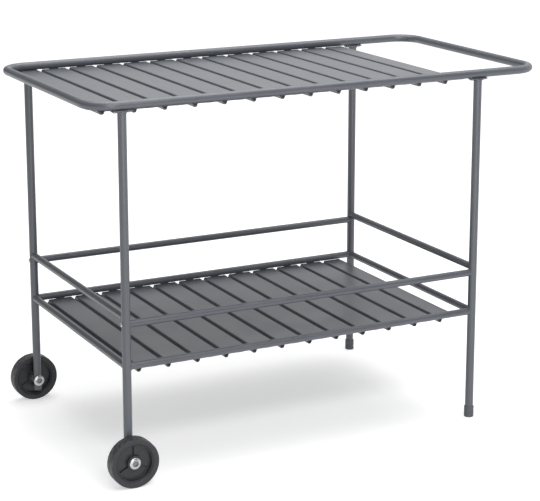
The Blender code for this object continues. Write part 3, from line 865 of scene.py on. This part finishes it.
@dataclass
class GroovedPanel:
    """A sheet-metal deck with pressed grooves across it."""

    node: str
    name: str
    grooves: int
    thickness: float = 0.0010
    groove_width: float = 0.011
    groove_floor: float = 0.006
    groove_depth: float = 0.0072
    first_groove_reach: float = 0.0286  # left legs' axis to the shelf's first groove
    last_groove_to_edge: float = 0.0497
    shelf_grooves: int = 12
    fold: float = 0.0018                # how far a fold's rounding reaches from its line
    fold_steps: int = 5
    cut_edge: float = 0.00025           # rounding of the sheet's cut edges
    corner_r: float = 0.0               # of the two left corners, in plan
    corner_steps: int = 12
    notch_gap: float = 0.0003
    trim_spare: float = 0.02            # what the sheet is cut from, past each edge
    stitch_length: float = 0.022
    stitch_r: float = 0.0013
    stitch_ripples: int = 9

    def groove_places(self) -> list[float]:
        """The grooves' middles along X.

        Returns:
            Their places, from the left.
        """
        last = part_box(self.node)[1].x - self.last_groove_to_edge
        first = Corner.FRONT_LEFT.axis.x + self.first_groove_reach
        pitch = (last - first) / (self.shelf_grooves - 1)
        return [last - pitch * step for step in reversed(range(self.grooves))]

    def build(self) -> None:
        """Folds, trims and thickens the sheet."""
        low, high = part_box(self.node)
        bm = self.folded_strip(low, high)
        self.trim(bm, low, high)
        bmesh.ops.recalc_face_normals(bm, faces=bm.faces)
        if sum(face.normal.z * face.calc_area() for face in bm.faces) < 0:
            bmesh.ops.reverse_faces(bm, faces=bm.faces)
        bm = self.thickened(bm)
        for corner in Corner:
            if corner.has_wheel:
                bm = combined(bm, self.notch(corner), "DIFFERENCE")
        cut_edges = [edge for edge in bm.edges if edge.calc_face_angle(0.0) > CUT_TURN]
        rounded(bm, cut_edges, self.cut_edge, 2, clamp=False)
        publish(self.name, bm, POWDER_COAT, [self.node], flats=True)
        for word, y in (("front", low.y), ("back", high.y)):
            self.stitches(f"{self.node}_welds_{word}", y, high.z)

    def folded_strip(self, low: Vector, high: Vector) -> Mesh:
        """The grooved sheet before it is trimmed.

        Args:
            low: The deck's lowest corner.
            high: Its highest corner.

        Returns:
            An open sheet, wider and longer than the deck.
        """
        spare = self.trim_spare
        half_top, half_floor = self.groove_width / 2, self.groove_floor / 2
        section = [(low.x - spare, high.z)]
        for x in self.groove_places():
            section += [(x - half_top, high.z), (x - half_floor, high.z - self.groove_depth),
                        (x + half_floor, high.z - self.groove_depth), (x + half_top, high.z)]
        section.append((high.x + spare, high.z))
        bm = bmesh.new()
        verts = [bm.verts.new((x, low.y - spare, z)) for x, z in section]
        edges = [bm.edges.new(pair) for pair in zip(verts, verts[1:])]
        drawn_out(bm, edges, Vector((0.0, high.y - low.y + 2 * spare, 0.0)))
        folds = [edge for edge in bm.edges if len(edge.link_faces) == 2
                 and edge.calc_face_angle(0.0) > SHARP_TURN]
        rounded(bm, folds, self.fold, self.fold_steps, clamp=False)
        return bm

    def trim(self, bm: Mesh, low: Vector, high: Vector) -> None:
        """Cuts the sheet to its outline, one plane after another.

        Args:
            bm: The sheet, which is changed.
            low: The deck's lowest corner.
            high: Its highest corner.
        """
        cuts = [(high, (1, 0, 0)), (high, (0, 1, 0)), (low, (-1, 0, 0)), (low, (0, -1, 0))]
        if self.corner_r > 0.0:
            for side, edge in ((-1, low.y), (1, high.y)):
                centre = Vector((low.x + self.corner_r, edge - side * self.corner_r, high.z))
                for step in range(1, self.corner_steps):
                    angle = math.pi / 2 * step / self.corner_steps
                    way = Vector((-math.cos(angle), side * math.sin(angle), 0.0))
                    cuts.append((centre + way * self.corner_r, way))
        for point, way in cuts:
            bmesh.ops.bisect_plane(bm, geom=list(bm.verts) + list(bm.edges) + list(bm.faces), dist=MERGE,
                                   plane_co=point, plane_no=way, clear_outer=True)

    def thickened(self, bm: Mesh) -> Mesh:
        """The sheet with its thickness, its top face left where it is.

        Args:
            bm: The open sheet, facing up. It is freed.

        Returns:
            The closed sheet.
        """
        sheet = held("sheet", bm)
        wall = sheet.modifiers.new("wall", "SOLIDIFY")
        wall.thickness = self.thickness
        wall.offset = -1.0
        wall.use_even_offset = True
        return modified(sheet)

    def notch(self, corner: Corner) -> Mesh:
        """The cutter that clears the sheet at a wheel leg; each deck has its own."""
        raise NotImplementedError(f"{self.name} has no notch at {corner.value}")

    def stitches(self, name: str, y: float, z: float) -> None:
        """Short weld beads along one long edge of the sheet, one to each flat right of the wheel legs.

        Args:
            name: The piece's name.
            y: Where the row of beads lies.
            z: Its height.
        """
        places = [place for place in self.groove_places() if place > Corner.FRONT_LEFT.axis.x]
        beads = []
        for before, after in zip(places, places[1:]):
            bead = ball_bead(self.stitch_length, self.stitch_r, self.stitch_ripples)
            beads.append(placed(bead, Vector(((before + after) / 2, y, z))))
        publish(name, merged(beads), POWDER_COAT)


@dataclass
class TopDeck(GroovedPanel):
    """The top tray's deck, welded under the loop and notched round the wheel legs' plates."""

    node: str = "top_deck"
    name: str = "top_deck_panel"
    grooves: int = 13

    def build(self) -> None:
        """Rounds the left corners to follow the loop, then builds the panel and its weld beads."""
        low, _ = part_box(self.node)
        loop_low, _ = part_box("top_frame_loop")
        tube_r = half_size("top_frame_loop", 2)
        self.corner_r = TopLoop.corner_r - (low.y - (loop_low.y + tube_r))
        super().build()

    def notch(self, corner: Corner) -> Mesh:
        """A block that clears a wheel leg's flange plate.

        Args:
            corner: The leg's corner.

        Returns:
            The block, taller than the deck.
        """
        low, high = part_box(self.node)
        plate_low, plate_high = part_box(f"leg_plate_{corner.value}")
        size = plate_high - plate_low + 2 * self.notch_gap * Vector((1, 1, 0))
        return placed(block(Vector((size.x, size.y, 4 * (high.z - low.z)))), (plate_low + plate_high) / 2)


@dataclass
class ShelfDeck(GroovedPanel):
    """The lower deck, welded under the shelf's tubes and notched round the wheel legs."""

    node: str = "shelf_deck"
    name: str = "shelf_deck_panel"
    grooves: int = 12

    def notch(self, corner: Corner) -> Mesh:
        """An upright bar that clears a wheel leg.

        Args:
            corner: The leg's corner.

        Returns:
            The bar, longer than the deck is high.
        """
        low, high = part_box(self.node)
        at = corner.axis + UP * high.z
        reach = UP * (high.z - low.z)
        return rod(at - 2 * reach, at + reach, half_size("leg_front_left", 0) + self.notch_gap, TUBE_STEPS)


# ------------------------------------------------------------------ frame tubes
@dataclass
class Rail:
    """A straight tube between two legs, its ends shaped to the legs' sides."""

    node: str
    name: str
    side: Side
    welded: bool
    meets_long_rail: bool = False       # its ends also clear the long rails beside them
    wall: float = 0.0010
    end_gap: float = 0.0003
    shoulder: float = 0.012             # leg's axis to a ring of the tube that keeps its length even
    bead_r: float = 0.0012
    ripples: int = 16

    def build(self) -> None:
        """Builds the tube, copes its ends and lays the weld beads."""
        low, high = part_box(self.node)
        radius = (high.z - low.z) / 2
        level = UP * ((low.z + high.z) / 2)
        first, second = (corner.axis + level for corner in self.side.value)
        way = (second - first).normalized()
        length = (second - first).length
        post_r = half_size("leg_front_left", 0) + self.end_gap
        bore = radius - self.wall
        beside = Vector((self.side.value[0].inward, 0, 0))
        long_r = radius + self.end_gap if self.meets_long_rail else 0.0
        rings = [self.shoulder, length - self.shoulder]
        outside = [(radius, height) for height in [0.0, *rings, length]]
        inside = [(bore, height) for height in [length, *reversed(rings), 0.0]]
        bm = spun(outside + inside, TUBE_STEPS, closed=True)
        placed(bm, first, way)
        for vert in bm.verts:
            along = (vert.co - first).dot(way)
            across = vert.co - first - way * along
            reach = math.sqrt(max(post_r ** 2 - across.xy.length_squared, 0.0))
            if across.dot(beside) > 0.0:
                reach = max(reach, math.sqrt(max(long_r ** 2 - across.z ** 2, 0.0)))
            if along < MERGE:
                vert.co += way * reach
            elif along > length - MERGE:
                vert.co -= way * reach
        publish(self.name, bm, POWDER_COAT, [self.node])
        if self.welded:
            for end, (point, direction) in zip(("a", "b"), ((first, way), (second, -way))):
                bead = ring_bead(radius, self.bead_r, post_r, self.ripples)
                publish(f"{self.name}_weld_{end}", self.at_post(bead, point, direction), POWDER_COAT)

    def at_post(self, bead: Mesh, point: Vector, direction: Vector) -> Mesh:
        """Turns a bead so that the post it follows is upright.

        Args:
            bead: The bead, its tube along +Z and its post along X.
            point: Where the rail's axis meets the leg's axis.
            direction: The way from the leg along the rail.

        Returns:
            The same bead in its place.
        """
        axes = Matrix((UP, direction.cross(UP), direction)).transposed().to_4x4()
        bmesh.ops.transform(bead, matrix=Matrix.Translation(point) @ axes, verts=bead.verts)
        return bead


@dataclass
class Leg:
    """An upright tube with its flange plate, the plate's two screws and the weld under the plate."""

    corner: Corner
    wall: float = 0.0012
    hole_ring: float = 0.016            # half the stretch that holds a drilled hole
    guard_bolt_hole_r: float = 0.0028
    axle_hole_r: float = 0.0043
    sleeve_hole_r: float = 0.0053
    weld_r: float = 0.0019
    weld_ripples: int = 22
    weld_sink: float = 0.4              # how deep the bead sits, as a share of its radius
    plate_corner_r: float = 0.003
    plate_edge: float = 0.0005
    plate_hole_r: float = 0.0028
    seat_gap: float = 0.0003            # a screw's head to the plate
    screw_shank_r: float = 0.0025
    screw_edge: float = 0.00065
    socket_r: float = 0.0016
    socket_depth: float = 0.0013

    def build(self) -> None:
        """Builds the leg's pieces in order."""
        self.build_tube()
        self.build_plate()
        self.build_screws()

    def build_tube(self) -> None:
        """The leg's tube, with its bolt holes and its weld to the plate."""
        word = self.corner.value
        low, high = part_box(f"leg_{word}")
        at = self.corner.axis
        radius = (high.x - low.x) / 2
        bore = radius - self.wall
        levels = [low.z, high.z]
        if self.corner.has_wheel:
            bolt_z = middle_of(f"guard_bolt_{word}").z
            levels = [low.z, WheelSet.axle_height() + self.hole_ring, bolt_z - self.hole_ring,
                      bolt_z + self.hole_ring, high.z]
        outside = [(radius, z) for z in levels]
        inside = [(bore, z) for z in reversed(levels)]
        bm = placed(spun(outside + inside, TUBE_STEPS, closed=True), at)
        if self.corner.has_wheel:
            along_x = Vector((2 * radius, 0, 0))
            bolt_at = at + UP * bolt_z
            axle_at = at + UP * WheelSet.axle_height()
            out = Vector((0, self.corner.outward * 2 * radius, 0))
            for drill in (rod(bolt_at - along_x, bolt_at + along_x, self.guard_bolt_hole_r),
                          rod(axle_at, axle_at + out, self.axle_hole_r),
                          rod(axle_at, axle_at - out, self.sleeve_hole_r)):
                bm = combined(bm, drill, "DIFFERENCE")
        publish(f"leg_tube_{word}", bm, POWDER_COAT, [f"leg_{word}"])
        bead = ring_bead(radius, self.weld_r, None, self.weld_ripples)
        top = at + UP * (high.z - self.weld_r * self.weld_sink)
        publish(f"leg_weld_{word}", placed(bead, top), POWDER_COAT)

    def build_plate(self) -> None:
        """The flange plate between the leg and the loop."""
        word = self.corner.value
        low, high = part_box(f"leg_plate_{word}")
        bm = block(high - low)
        upright = [edge for edge in bm.edges if abs(edge.verts[0].co.z - edge.verts[1].co.z) > MERGE]
        rounded(bm, upright, self.plate_corner_r, 8)
        round_off(bm, self.plate_edge, 3)
        bmesh.ops.translate(bm, verts=bm.verts, vec=(low + high) / 2)
        through = UP * (high.z - low.z)
        for letter in ("a", "b"):
            at = middle_of(f"plate_screw_{word}_{letter}")
            at.z = (low.z + high.z) / 2
            bm = combined(bm, rod(at - through, at + through, self.plate_hole_r), "DIFFERENCE")
        publish(f"flange_plate_{word}", bm, POWDER_COAT, [f"leg_plate_{word}"], flats=True)

    def build_screws(self) -> None:
        """The two button-head screws that go up through the plate."""
        word = self.corner.value
        plate_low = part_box(f"leg_plate_{word}")[0]
        for letter in ("a", "b"):
            node = f"plate_screw_{word}_{letter}"
            low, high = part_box(node)
            head_r = (high.x - low.x) / 2
            seat = plate_low.z - self.seat_gap
            bm = Fastener(head_r, seat - low.z, self.screw_edge, self.screw_shank_r, high.z - seat,
                          self.socket_r, self.socket_depth).mesh()
            at = middle_of(node)
            at.z = seat
            publish(f"flange_screw_{word}_{letter}", placed(bm, at, -UP), BRIGHT_ZINC, [node])


@dataclass
class Fastener:
    """A screw or bolt with a domed head and a hexagonal socket, its head towards +Z."""

    head_r: float
    head_h: float
    edge_h: float                       # height of the head's rim below the dome
    shank_r: float
    shank: float
    socket_r: float
    socket_depth: float
    thread_r: float = 0.0               # radius of a thinner threaded end
    thread_from: float = 0.0            # where it starts, below the head
    rim_rounding: float = 0.0003

    def mesh(self) -> Mesh:
        """Turns the fastener and cuts its socket.

        Returns:
            The mesh, its head standing on the origin's plane.
        """
        profile = dome(self.head_r, self.head_h, self.edge_h)
        profile.append((self.shank_r, 0.0))
        if self.thread_r > 0.0:
            profile += [(self.shank_r, -self.thread_from), (self.thread_r, -self.thread_from),
                        (self.thread_r, -self.shank)]
        else:
            profile.append((self.shank_r, -self.shank))
        profile.append((0.0, -self.shank))
        bm = spun(profile, FASTENER_STEPS)
        round_off(bm, self.rim_rounding, 2)
        return with_socket(bm, self.head_h, self.socket_r, self.socket_depth)


def with_socket(bm: Mesh, top: float, radius: float, depth: float) -> Mesh:
    """Cuts a hexagonal key socket into the top of a head.

    Args:
        bm: The head, its top towards +Z. It is freed.
        top: The height of its crown.
        radius: The socket's radius, to its corners.
        depth: How deep it goes.

    Returns:
        The head with its socket.
    """
    key = rod(UP * (top - depth), UP * (top + depth), radius, KEY_SIDES)
    return combined(bm, key, "DIFFERENCE")


@dataclass
class GuardBolt:
    """The bolt that holds a long guard rail's left end to its leg."""

    corner: Corner
    head_edge: float = 0.00075
    head_h: float = 0.0025
    shank_r: float = 0.0025
    socket_r: float = 0.0021
    socket_depth: float = 0.0014

    def build(self) -> None:
        """Builds the bolt on the outer side of its leg and dresses the insert that it enters."""
        word = self.corner.value
        node = f"guard_bolt_{word}"
        low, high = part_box(node)
        at = middle_of(node)
        at.x = low.x + self.head_h
        shank = (high.x - low.x) - self.head_h
        bm = Fastener((high.z - low.z) / 2, self.head_h, self.head_edge, self.shank_r, shank,
                      self.socket_r, self.socket_depth).mesh()
        publish(f"guard_screw_{word}", placed(bm, at, Vector((-1, 0, 0))), BRIGHT_ZINC, [node])
        dress(f"guard_insert_{word}", BRIGHT_ZINC)


def dress(node: str, finish: Finish) -> None:
    """Gives a finish to a frame node that stays as it is.

    Args:
        node: The node's name.
        finish: Its finish.
    """
    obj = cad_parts[node]
    for material_slot in obj.material_slots:
        material_slot.material = finish.material()
    log.info("%s: kept, %s", node, finish.name)


@dataclass
class FootCap:
    """The ribbed plastic cup that a leg without a wheel stands in."""

    corner: Corner
    floor: float = 0.004
    wall: float = 0.0016
    ribs: int = 3
    rib_depth: float = 0.0005
    rib_height: float = 0.0024
    rib_start: float = 0.0075           # floor to the lowest rib's groove
    rib_pitch: float = 0.0048
    rib_slope: float = 0.3              # share of a groove's height that each side takes
    lip: float = 0.0011
    lip_rounding: float = 0.0002
    rounding: float = 0.0012

    def build(self) -> None:
        """Turns the cup, with shallow grooves between its ribs."""
        node = f"foot_cap_{self.corner.value}"
        low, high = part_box(node)
        radius = (high.x - low.x) / 2
        bore = radius - self.wall
        top = high.z - low.z
        profile = [(0.0, self.floor), (bore, self.floor), (bore, top), (radius - self.lip, top),
                   (radius, top - 2 * self.lip)]
        for rib in reversed(range(self.ribs)):
            start = self.rib_start + rib * self.rib_pitch
            profile += [(radius, start + self.rib_height),
                        (radius - self.rib_depth, start + self.rib_height * (1 - self.rib_slope)),
                        (radius - self.rib_depth, start + self.rib_height * self.rib_slope), (radius, start)]
        profile += [(radius, 0.0), (0.0, 0.0)]
        bm = spun(profile, TUBE_STEPS)
        round_off(bm, self.rounding, 4, lambda point: point.z < MERGE)
        round_off(bm, self.lip_rounding, 2, lambda point: point.z > top - self.lip)
        at = self.corner.axis + UP * low.z
        publish(f"foot_{self.corner.value}", placed(bm, at), GREY_MOULDING, [node], flats=True)


@dataclass
class LegPlug:
    """The plug in the open lower end of a wheel leg."""

    corner: Corner
    rim_h: float = 0.0020
    wall: float = 0.0012
    fit: float = 0.0003
    rounding: float = 0.0007
    dimple_r: float = 0.0045
    dimple: float = 0.0004

    def build(self) -> None:
        """Turns the plug: a stem in the tube and a rounded rim under it with a shallow dimple."""
        node = f"leg_end_plug_{self.corner.value}"
        low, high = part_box(node)
        radius = (high.x - low.x) / 2
        stem = radius - self.wall - self.fit
        top = high.z - low.z
        profile = [(0.0, top), (stem, top), (stem, self.rim_h), (radius, self.rim_h), (radius, 0.0),
                   (self.dimple_r, 0.0), (self.dimple_r - self.dimple, self.dimple), (0.0, self.dimple)]
        bm = spun(profile, TUBE_STEPS)
        rim_from = (radius + self.dimple_r) / 2
        round_off(bm, self.rounding, 4, lambda point: point.z < MERGE and point.xy.length > rim_from)
        at = self.corner.axis + UP * low.z
        publish(f"leg_plug_{self.corner.value}", placed(bm, at), BLACK_MOULDING, [node], flats=True)


# ------------------------------------------------------------------ wheels
@dataclass
class WheelSet:
    """One wheel: tyre, ribbed rim and bush, on an axle bolt with its washer and domed nut."""

    place: WheelPlace
    tyre_shoulder: float = 0.0065
    tyre_crown: float = 0.0003
    sidewall_bulge: float = 0.0022      # rim to where the sidewall is nearly at full width
    sidewall_full: float = 0.0035       # rim to where it is
    sidewall_dip: float = 0.0004
    crown_half: float = 0.003           # half the flat middle of the tread
    bead_half: float = 0.0105           # half the tyre's width where it meets the rim
    flash_h: float = 0.00018            # moulding line round the tread
    flash_half: float = 0.0005
    scuff_reach: float = 0.004          # how far floor dust climbs from the tread
    rim_wall: float = 0.0026
    web: float = 0.0035
    hub_r: float = 0.0165
    hub_face: float = 0.0095            # wheel's middle plane to the hub's outer face
    bush_fit: float = 0.0003
    rim_rounding: float = 0.0009
    ribs: int = 3
    rib_thick: float = 0.0018
    rib_h: float = 0.0045               # above the web
    rib_edge: float = 0.0004
    head_edge: float = 0.001575
    head_h: float = 0.0045
    axle_r: float = 0.0040
    thread_r: float = 0.0030
    sleeve_r: float = 0.0050
    sleeve: float = 0.0120
    sleeve_bore: float = 0.0033
    socket_r: float = 0.0065
    socket_depth: float = 0.0022
    dull_r: float = 0.0078              # reach of the painted shade: the socket and the dished face round it
    washer_bore: float = 0.0043
    washer_edge: float = 0.0004

    @staticmethod
    def axle_height() -> float:
        """The height of both wheels' axles."""
        return middle_of("front_tyre").z

    @property
    def corner(self) -> Corner:
        """The corner of the wheel's leg."""
        return self.place.value[0]

    @property
    def body(self) -> Body:
        """The body that the wheel spins with."""
        return self.place.value[1]

    @property
    def outward(self) -> Vector:
        """The way from the leg to the wheel."""
        return Vector((0, self.corner.outward, 0))

    def node(self, part: str) -> str:
        """The name of one of the wheel's frame nodes."""
        return f"{self.place.word}_{part}"

    def finish(self, base: Finish, name: str, **extra: object) -> WheelFinish:
        """A finish whose rings are centred on this wheel's axle.

        Args:
            base: The finish to start from.
            name: The word that the new finish's name starts with.
            extra: Values of its own.

        Returns:
            The wheel's own finish.
        """
        values = {**base.__dict__, "name": f"{name}_{self.place.word}", **extra}
        return WheelFinish(axle=tuple(middle_of(self.node("tyre"))), **values)

    def build(self) -> None:
        """Builds the wheel's pieces in order."""
        self.build_tyre()
        self.build_rim()
        self.build_axle()
        dress(self.node("wheel_bush"), NATURAL_NYLON)

    def build_tyre(self) -> None:
        """The tyre: round shoulders, a barely crowned tread and its moulding line."""
        outer = half_size(self.node("tyre"), 2)
        half = half_size(self.node("tyre"), 1)
        inner = half_size(self.node("wheel_rim"), 2) + self.bush_fit
        tread = outer - self.flash_h
        edge = tread - self.tyre_crown
        side = [(inner, self.bead_half), (inner + self.sidewall_bulge, half - self.sidewall_dip),
                (inner + self.sidewall_full, half), (edge, half), (tread, self.crown_half),
                (tread, self.flash_half)]
        other_side = [(radius, -height) for radius, height in reversed(side)]
        profile = [*side, (outer, 0.0), *other_side]
        bm = spun(profile, WHEEL_STEPS, closed=True)
        round_off(bm, self.tyre_shoulder, 8, lambda point: point.xy.length > edge - MERGE)
        placed(bm, middle_of(self.node("tyre")), self.outward)
        finish = self.finish(RUBBER, "tyre_rubber", ring_share=0.25, ring_scale=700.0,
                             scuff_from=outer - self.scuff_reach, scuff_full=outer - self.flash_half,
                             scuff=0.35)
        publish(f"tyre_{self.place.word}", bm, finish, [self.node("tyre")], self.body)

    def build_rim(self) -> None:
        """The dished rim with its web, hub and ribs on both sides."""
        outer = half_size(self.node("wheel_rim"), 2)
        half = self.bead_half
        inner = outer - self.rim_wall
        web = self.web / 2
        back = -half_size(self.node("tyre"), 1)
        bore = half_size(self.node("wheel_bush"), 2) + self.bush_fit
        profile = [(outer, half), (outer, -half), (inner, -half), (inner, -web), (self.hub_r, -web),
                   (self.hub_r, back), (bore, back), (bore, self.hub_face), (self.hub_r, self.hub_face),
                   (self.hub_r, web), (inner, web), (inner, half)]
        bm = spun(profile, WHEEL_STEPS, closed=True)
        round_off(bm, self.rim_rounding, 3, lambda point: point.xy.length < outer - MERGE)
        for rib in range(self.ribs):
            bm = combined(bm, self.rib_block(math.pi / 2 + math.tau * rib / self.ribs, inner), "UNION")
        placed(bm, middle_of(self.node("tyre")), self.outward)
        finish = self.finish(BLACK_MOULDING, "rim_moulding", ring_share=0.15)
        publish(f"rim_{self.place.word}", bm, finish, [self.node("wheel_rim")], self.body, flats=True)

    def rib_block(self, angle: float, inner: float) -> Mesh:
        """One rib from the hub to the rim's wall, on both sides of the web.

        Args:
            angle: Where it stands round the hub.
            inner: The radius of the rim's inner wall.

        Returns:
            The rib's solid, its ends inside the hub and the wall.
        """
        length = inner - self.hub_r + self.rim_wall
        bm = block(Vector((length, self.rib_thick, self.web + 2 * self.rib_h)))
        crests = [edge for edge in bm.edges if abs(edge.verts[0].co.x - edge.verts[1].co.x) > length / 2]
        rounded(bm, crests, self.rib_edge, 3)
        bmesh.ops.translate(bm, verts=bm.verts, vec=((inner + self.hub_r) / 2, 0, 0))
        bmesh.ops.rotate(bm, verts=bm.verts, cent=(0, 0, 0), matrix=Matrix.Rotation(angle, 3, "Z"))
        return bm

    def build_axle(self) -> None:
        """The bolt, the washer between hub and leg, and the sleeve nut on the leg's inner side."""
        word = self.place.word
        bolt_low, bolt_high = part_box(self.node("axle_bolt"))
        centre = middle_of(self.node("axle_bolt"))
        sign = self.corner.outward
        head_top = bolt_low.y if sign < 0 else bolt_high.y
        seat = Vector((centre.x, head_top - sign * self.head_h, centre.z))
        head_r = (bolt_high.z - bolt_low.z) / 2
        shank = (bolt_high.y - bolt_low.y) - self.head_h
        leg_r = half_size(f"leg_{self.corner.value}", 0)
        thread_from = abs(seat.y - self.corner.axis.y) - leg_r / 2
        bolt = Fastener(head_r, self.head_h, self.head_edge, self.axle_r, shank, self.socket_r,
                        self.socket_depth, self.thread_r, thread_from).mesh()
        # The turned zinc paints shade into the middle of each head, nut and washer, round the axle.
        steel = self.finish(BRIGHT_ZINC, "turned_zinc", ring_share=0.6, ring_scale=1600.0,
                            ring_sheen=0.25, core_r=self.dull_r)
        publish(f"axle_screw_{word}", placed(bolt, seat, self.outward), steel, [self.node("axle_bolt")])

        low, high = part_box(self.node("wheel_spacer"))
        thick = high.y - low.y
        radius = (high.z - low.z) / 2
        washer = spun([(radius, thick / 2), (radius, -thick / 2), (self.washer_bore, -thick / 2),
                       (self.washer_bore, thick / 2)], FASTENER_STEPS, closed=True)
        round_off(washer, self.washer_edge, 3)
        publish(f"axle_washer_{word}", placed(washer, (low + high) / 2, self.outward), steel,
                [self.node("wheel_spacer")], flats=True)

        low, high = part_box(self.node("axle_nut"))
        nut_top = high.y if sign < 0 else low.y
        nut_seat = Vector((centre.x, nut_top + sign * self.head_h, centre.z))
        nut = self.nut_mesh((high.z - low.z) / 2)
        publish(f"axle_nut_{word}_dome", placed(nut, nut_seat, -self.outward), steel,
                [self.node("axle_nut")])

    def nut_mesh(self, head_r: float) -> Mesh:
        """A domed nut with a threaded sleeve that enters the leg.

        Args:
            head_r: The dome's radius.

        Returns:
            The nut, its dome towards +Z and its head standing on the origin's plane.
        """
        profile = dome(head_r, self.head_h, self.head_edge)
        profile += [(self.sleeve_r, 0.0), (self.sleeve_r, -self.sleeve),
                    (self.sleeve_bore, -self.sleeve), (self.sleeve_bore, 0.0), (0.0, 0.0)]
        bm = spun(profile, FASTENER_STEPS)
        return with_socket(bm, self.head_h, self.socket_r, self.socket_depth)


# ------------------------------------------------------------------ studio
@dataclass
class Studio:
    """Floor, light and camera."""

    floor_half: float = 14.0
    floor_white: float = 0.80
    near_lift: float = 0.50             # seen by the camera and by reflections, not by the object
    far_lift: float = 0.85
    lift_from: float = 0.9              # distance from the middle where the floor starts to pale
    lift_full: float = 3.2
    sky: float = 0.30
    backdrop_way: float = 72.0          # degrees right of +Y: the middle of the lit backdrop
    backdrop_from: float = 0.30         # cosine of the angle from there where it starts
    backdrop_full: float = 0.70
    lamp_aim: float = 0.45              # height that the lamps point at
    lens: float = 115.9
    sensor: float = 36.0
    camera_at: tuple[float, float, float] = (-1.8189, -3.5200, 1.4609)
    yaw: float = 27.35                  # degrees right of +Y
    pitch: float = 13.1                 # degrees below the horizon
    shift_y: float = -0.1175

    def build(self) -> None:
        """Sets up the floor, the lamps, the world and the camera."""
        self.build_floor()
        self.build_world()
        self.softbox("overhead_softbox", Vector((0.3, 0.2, 3.2)), (3.4, 2.8), 90.0)
        self.softbox("high_front_softbox", Vector((-0.5, -2.9, 2.8)), (2.6, 0.7), 50.0)
        self.softbox("low_front_softbox", Vector((-1.0, -5.0, 0.8)), (0.4, 1.5), 46.0)
        self.build_camera()
        bpy.context.scene.view_settings.view_transform = "Standard"

    def seen_directly(self, graph: Graph) -> Socket:
        """1 for rays that come from the camera, a reflection or glass, else 0.

        Args:
            graph: The floor's graph.

        Returns:
            The mask.
        """
        path = graph.add("LightPath").outputs
        either = graph.math("MAXIMUM", path["Is Camera Ray"], path["Is Glossy Ray"])
        return graph.math("MAXIMUM", either, path["Is Transmission Ray"])

    def build_floor(self) -> None:
        """A plain pale floor that keeps the object's shadow."""
        bm = bmesh.new()
        bmesh.ops.create_grid(bm, x_segments=1, y_segments=1, size=self.floor_half)
        material = bpy.data.materials.new("pale_floor")
        material.use_nodes = True
        graph = Graph(material.node_tree)
        shader = material.node_tree.nodes["Principled BSDF"]
        shader.inputs["Base Color"].default_value = (*[self.floor_white] * 3, 1)
        shader.inputs["Roughness"].default_value = 0.9
        shader.inputs["Specular IOR Level"].default_value = 0.1
        away = graph.add("VectorMath", {0: graph.add("TexCoord").outputs["Object"]}, operation="LENGTH")
        far = graph.ramp(away.outputs["Value"], self.lift_from, self.lift_full)
        lift = graph.mix(far, self.near_lift, self.far_lift)
        lift = graph.math("MULTIPLY", self.seen_directly(graph), lift)
        shader.inputs["Emission Color"].default_value = (1, 1, 1, 1)
        material.node_tree.links.new(lift, shader.inputs["Emission Strength"])
        floor = held("floor", bm)
        floor.data.materials.append(material)

    def build_world(self) -> None:
        """A dim even sky, white to the camera, and a white backdrop on one side for reflections."""
        world = bpy.data.worlds.new("studio")
        bpy.context.scene.world = world
        world.use_nodes = True
        graph = Graph(world.node_tree)
        background = world.node_tree.nodes["Background"]
        background.inputs["Color"].default_value = (1, 1, 1, 1)
        way = math.radians(self.backdrop_way)
        looking = graph.add("TexCoord").outputs["Generated"]
        towards = graph.add("VectorMath", {0: looking, 1: (math.sin(way), math.cos(way), 0.0)},
                            operation="DOT_PRODUCT").outputs["Value"]
        backdrop = graph.ramp(towards, self.backdrop_from, self.backdrop_full)
        path = graph.add("LightPath").outputs
        mirrored = graph.math("MAXIMUM", path["Is Glossy Ray"], path["Is Transmission Ray"])
        white = graph.math("MAXIMUM", path["Is Camera Ray"], graph.math("MULTIPLY", mirrored, backdrop))
        strength = graph.math("ADD", graph.math("MULTIPLY", white, 1.0 - self.sky), self.sky)
        world.node_tree.links.new(strength, background.inputs["Strength"])

    def softbox(self, name: str, at: Vector, size: tuple[float, float], power: float) -> None:
        """A soft lamp aimed at the middle of the trolley.

        Args:
            name: The lamp's name.
            at: Where it stands.
            size: Its width and height.
            power: Its power in watts.
        """
        data = bpy.data.lights.new(name, "AREA")
        data.shape = "RECTANGLE"
        data.size, data.size_y = size
        data.energy = power
        lamp = linked(name, data)
        lamp.location = at
        lamp.rotation_euler = (UP * self.lamp_aim - at).to_track_quat("-Z", "Y").to_euler()

    def build_camera(self) -> None:
        """The camera, in front of the wheel end and above the top."""
        data = bpy.data.cameras.new("camera")
        data.lens = self.lens
        data.sensor_width = self.sensor
        data.shift_y = self.shift_y
        camera = linked("camera", data)
        yaw, pitch = math.radians(self.yaw), math.radians(self.pitch)
        way = Vector((math.sin(yaw) * math.cos(pitch), math.cos(yaw) * math.cos(pitch), -math.sin(pitch)))
        camera.location = self.camera_at
        camera.rotation_euler = way.to_track_quat("-Z", "Y").to_euler()
        bpy.context.scene.camera = camera


def main() -> None:
    """Builds the trolley's looks and the studio round it."""
    logging.basicConfig(level=logging.INFO, format="%(name)s: %(message)s")
    TopLoop().build()
    TopDeck().build()
    ShelfDeck().build()
    for corner in Corner:
        Leg(corner).build()
        if corner.has_wheel:
            GuardBolt(corner).build()
            LegPlug(corner).build()
        else:
            FootCap(corner).build()
    for side in Side:
        across = side in (Side.LEFT, Side.RIGHT)
        Rail(f"shelf_rail_{side.word}", f"shelf_tube_{side.word}", side, welded=True,
             meets_long_rail=across).build()
        Rail(f"guard_rail_{side.word}", f"guard_tube_{side.word}", side, welded=across).build()
    for place in WheelPlace:
        WheelSet(place).build()
    Studio().build()


if __name__ == "__main__":
    main()
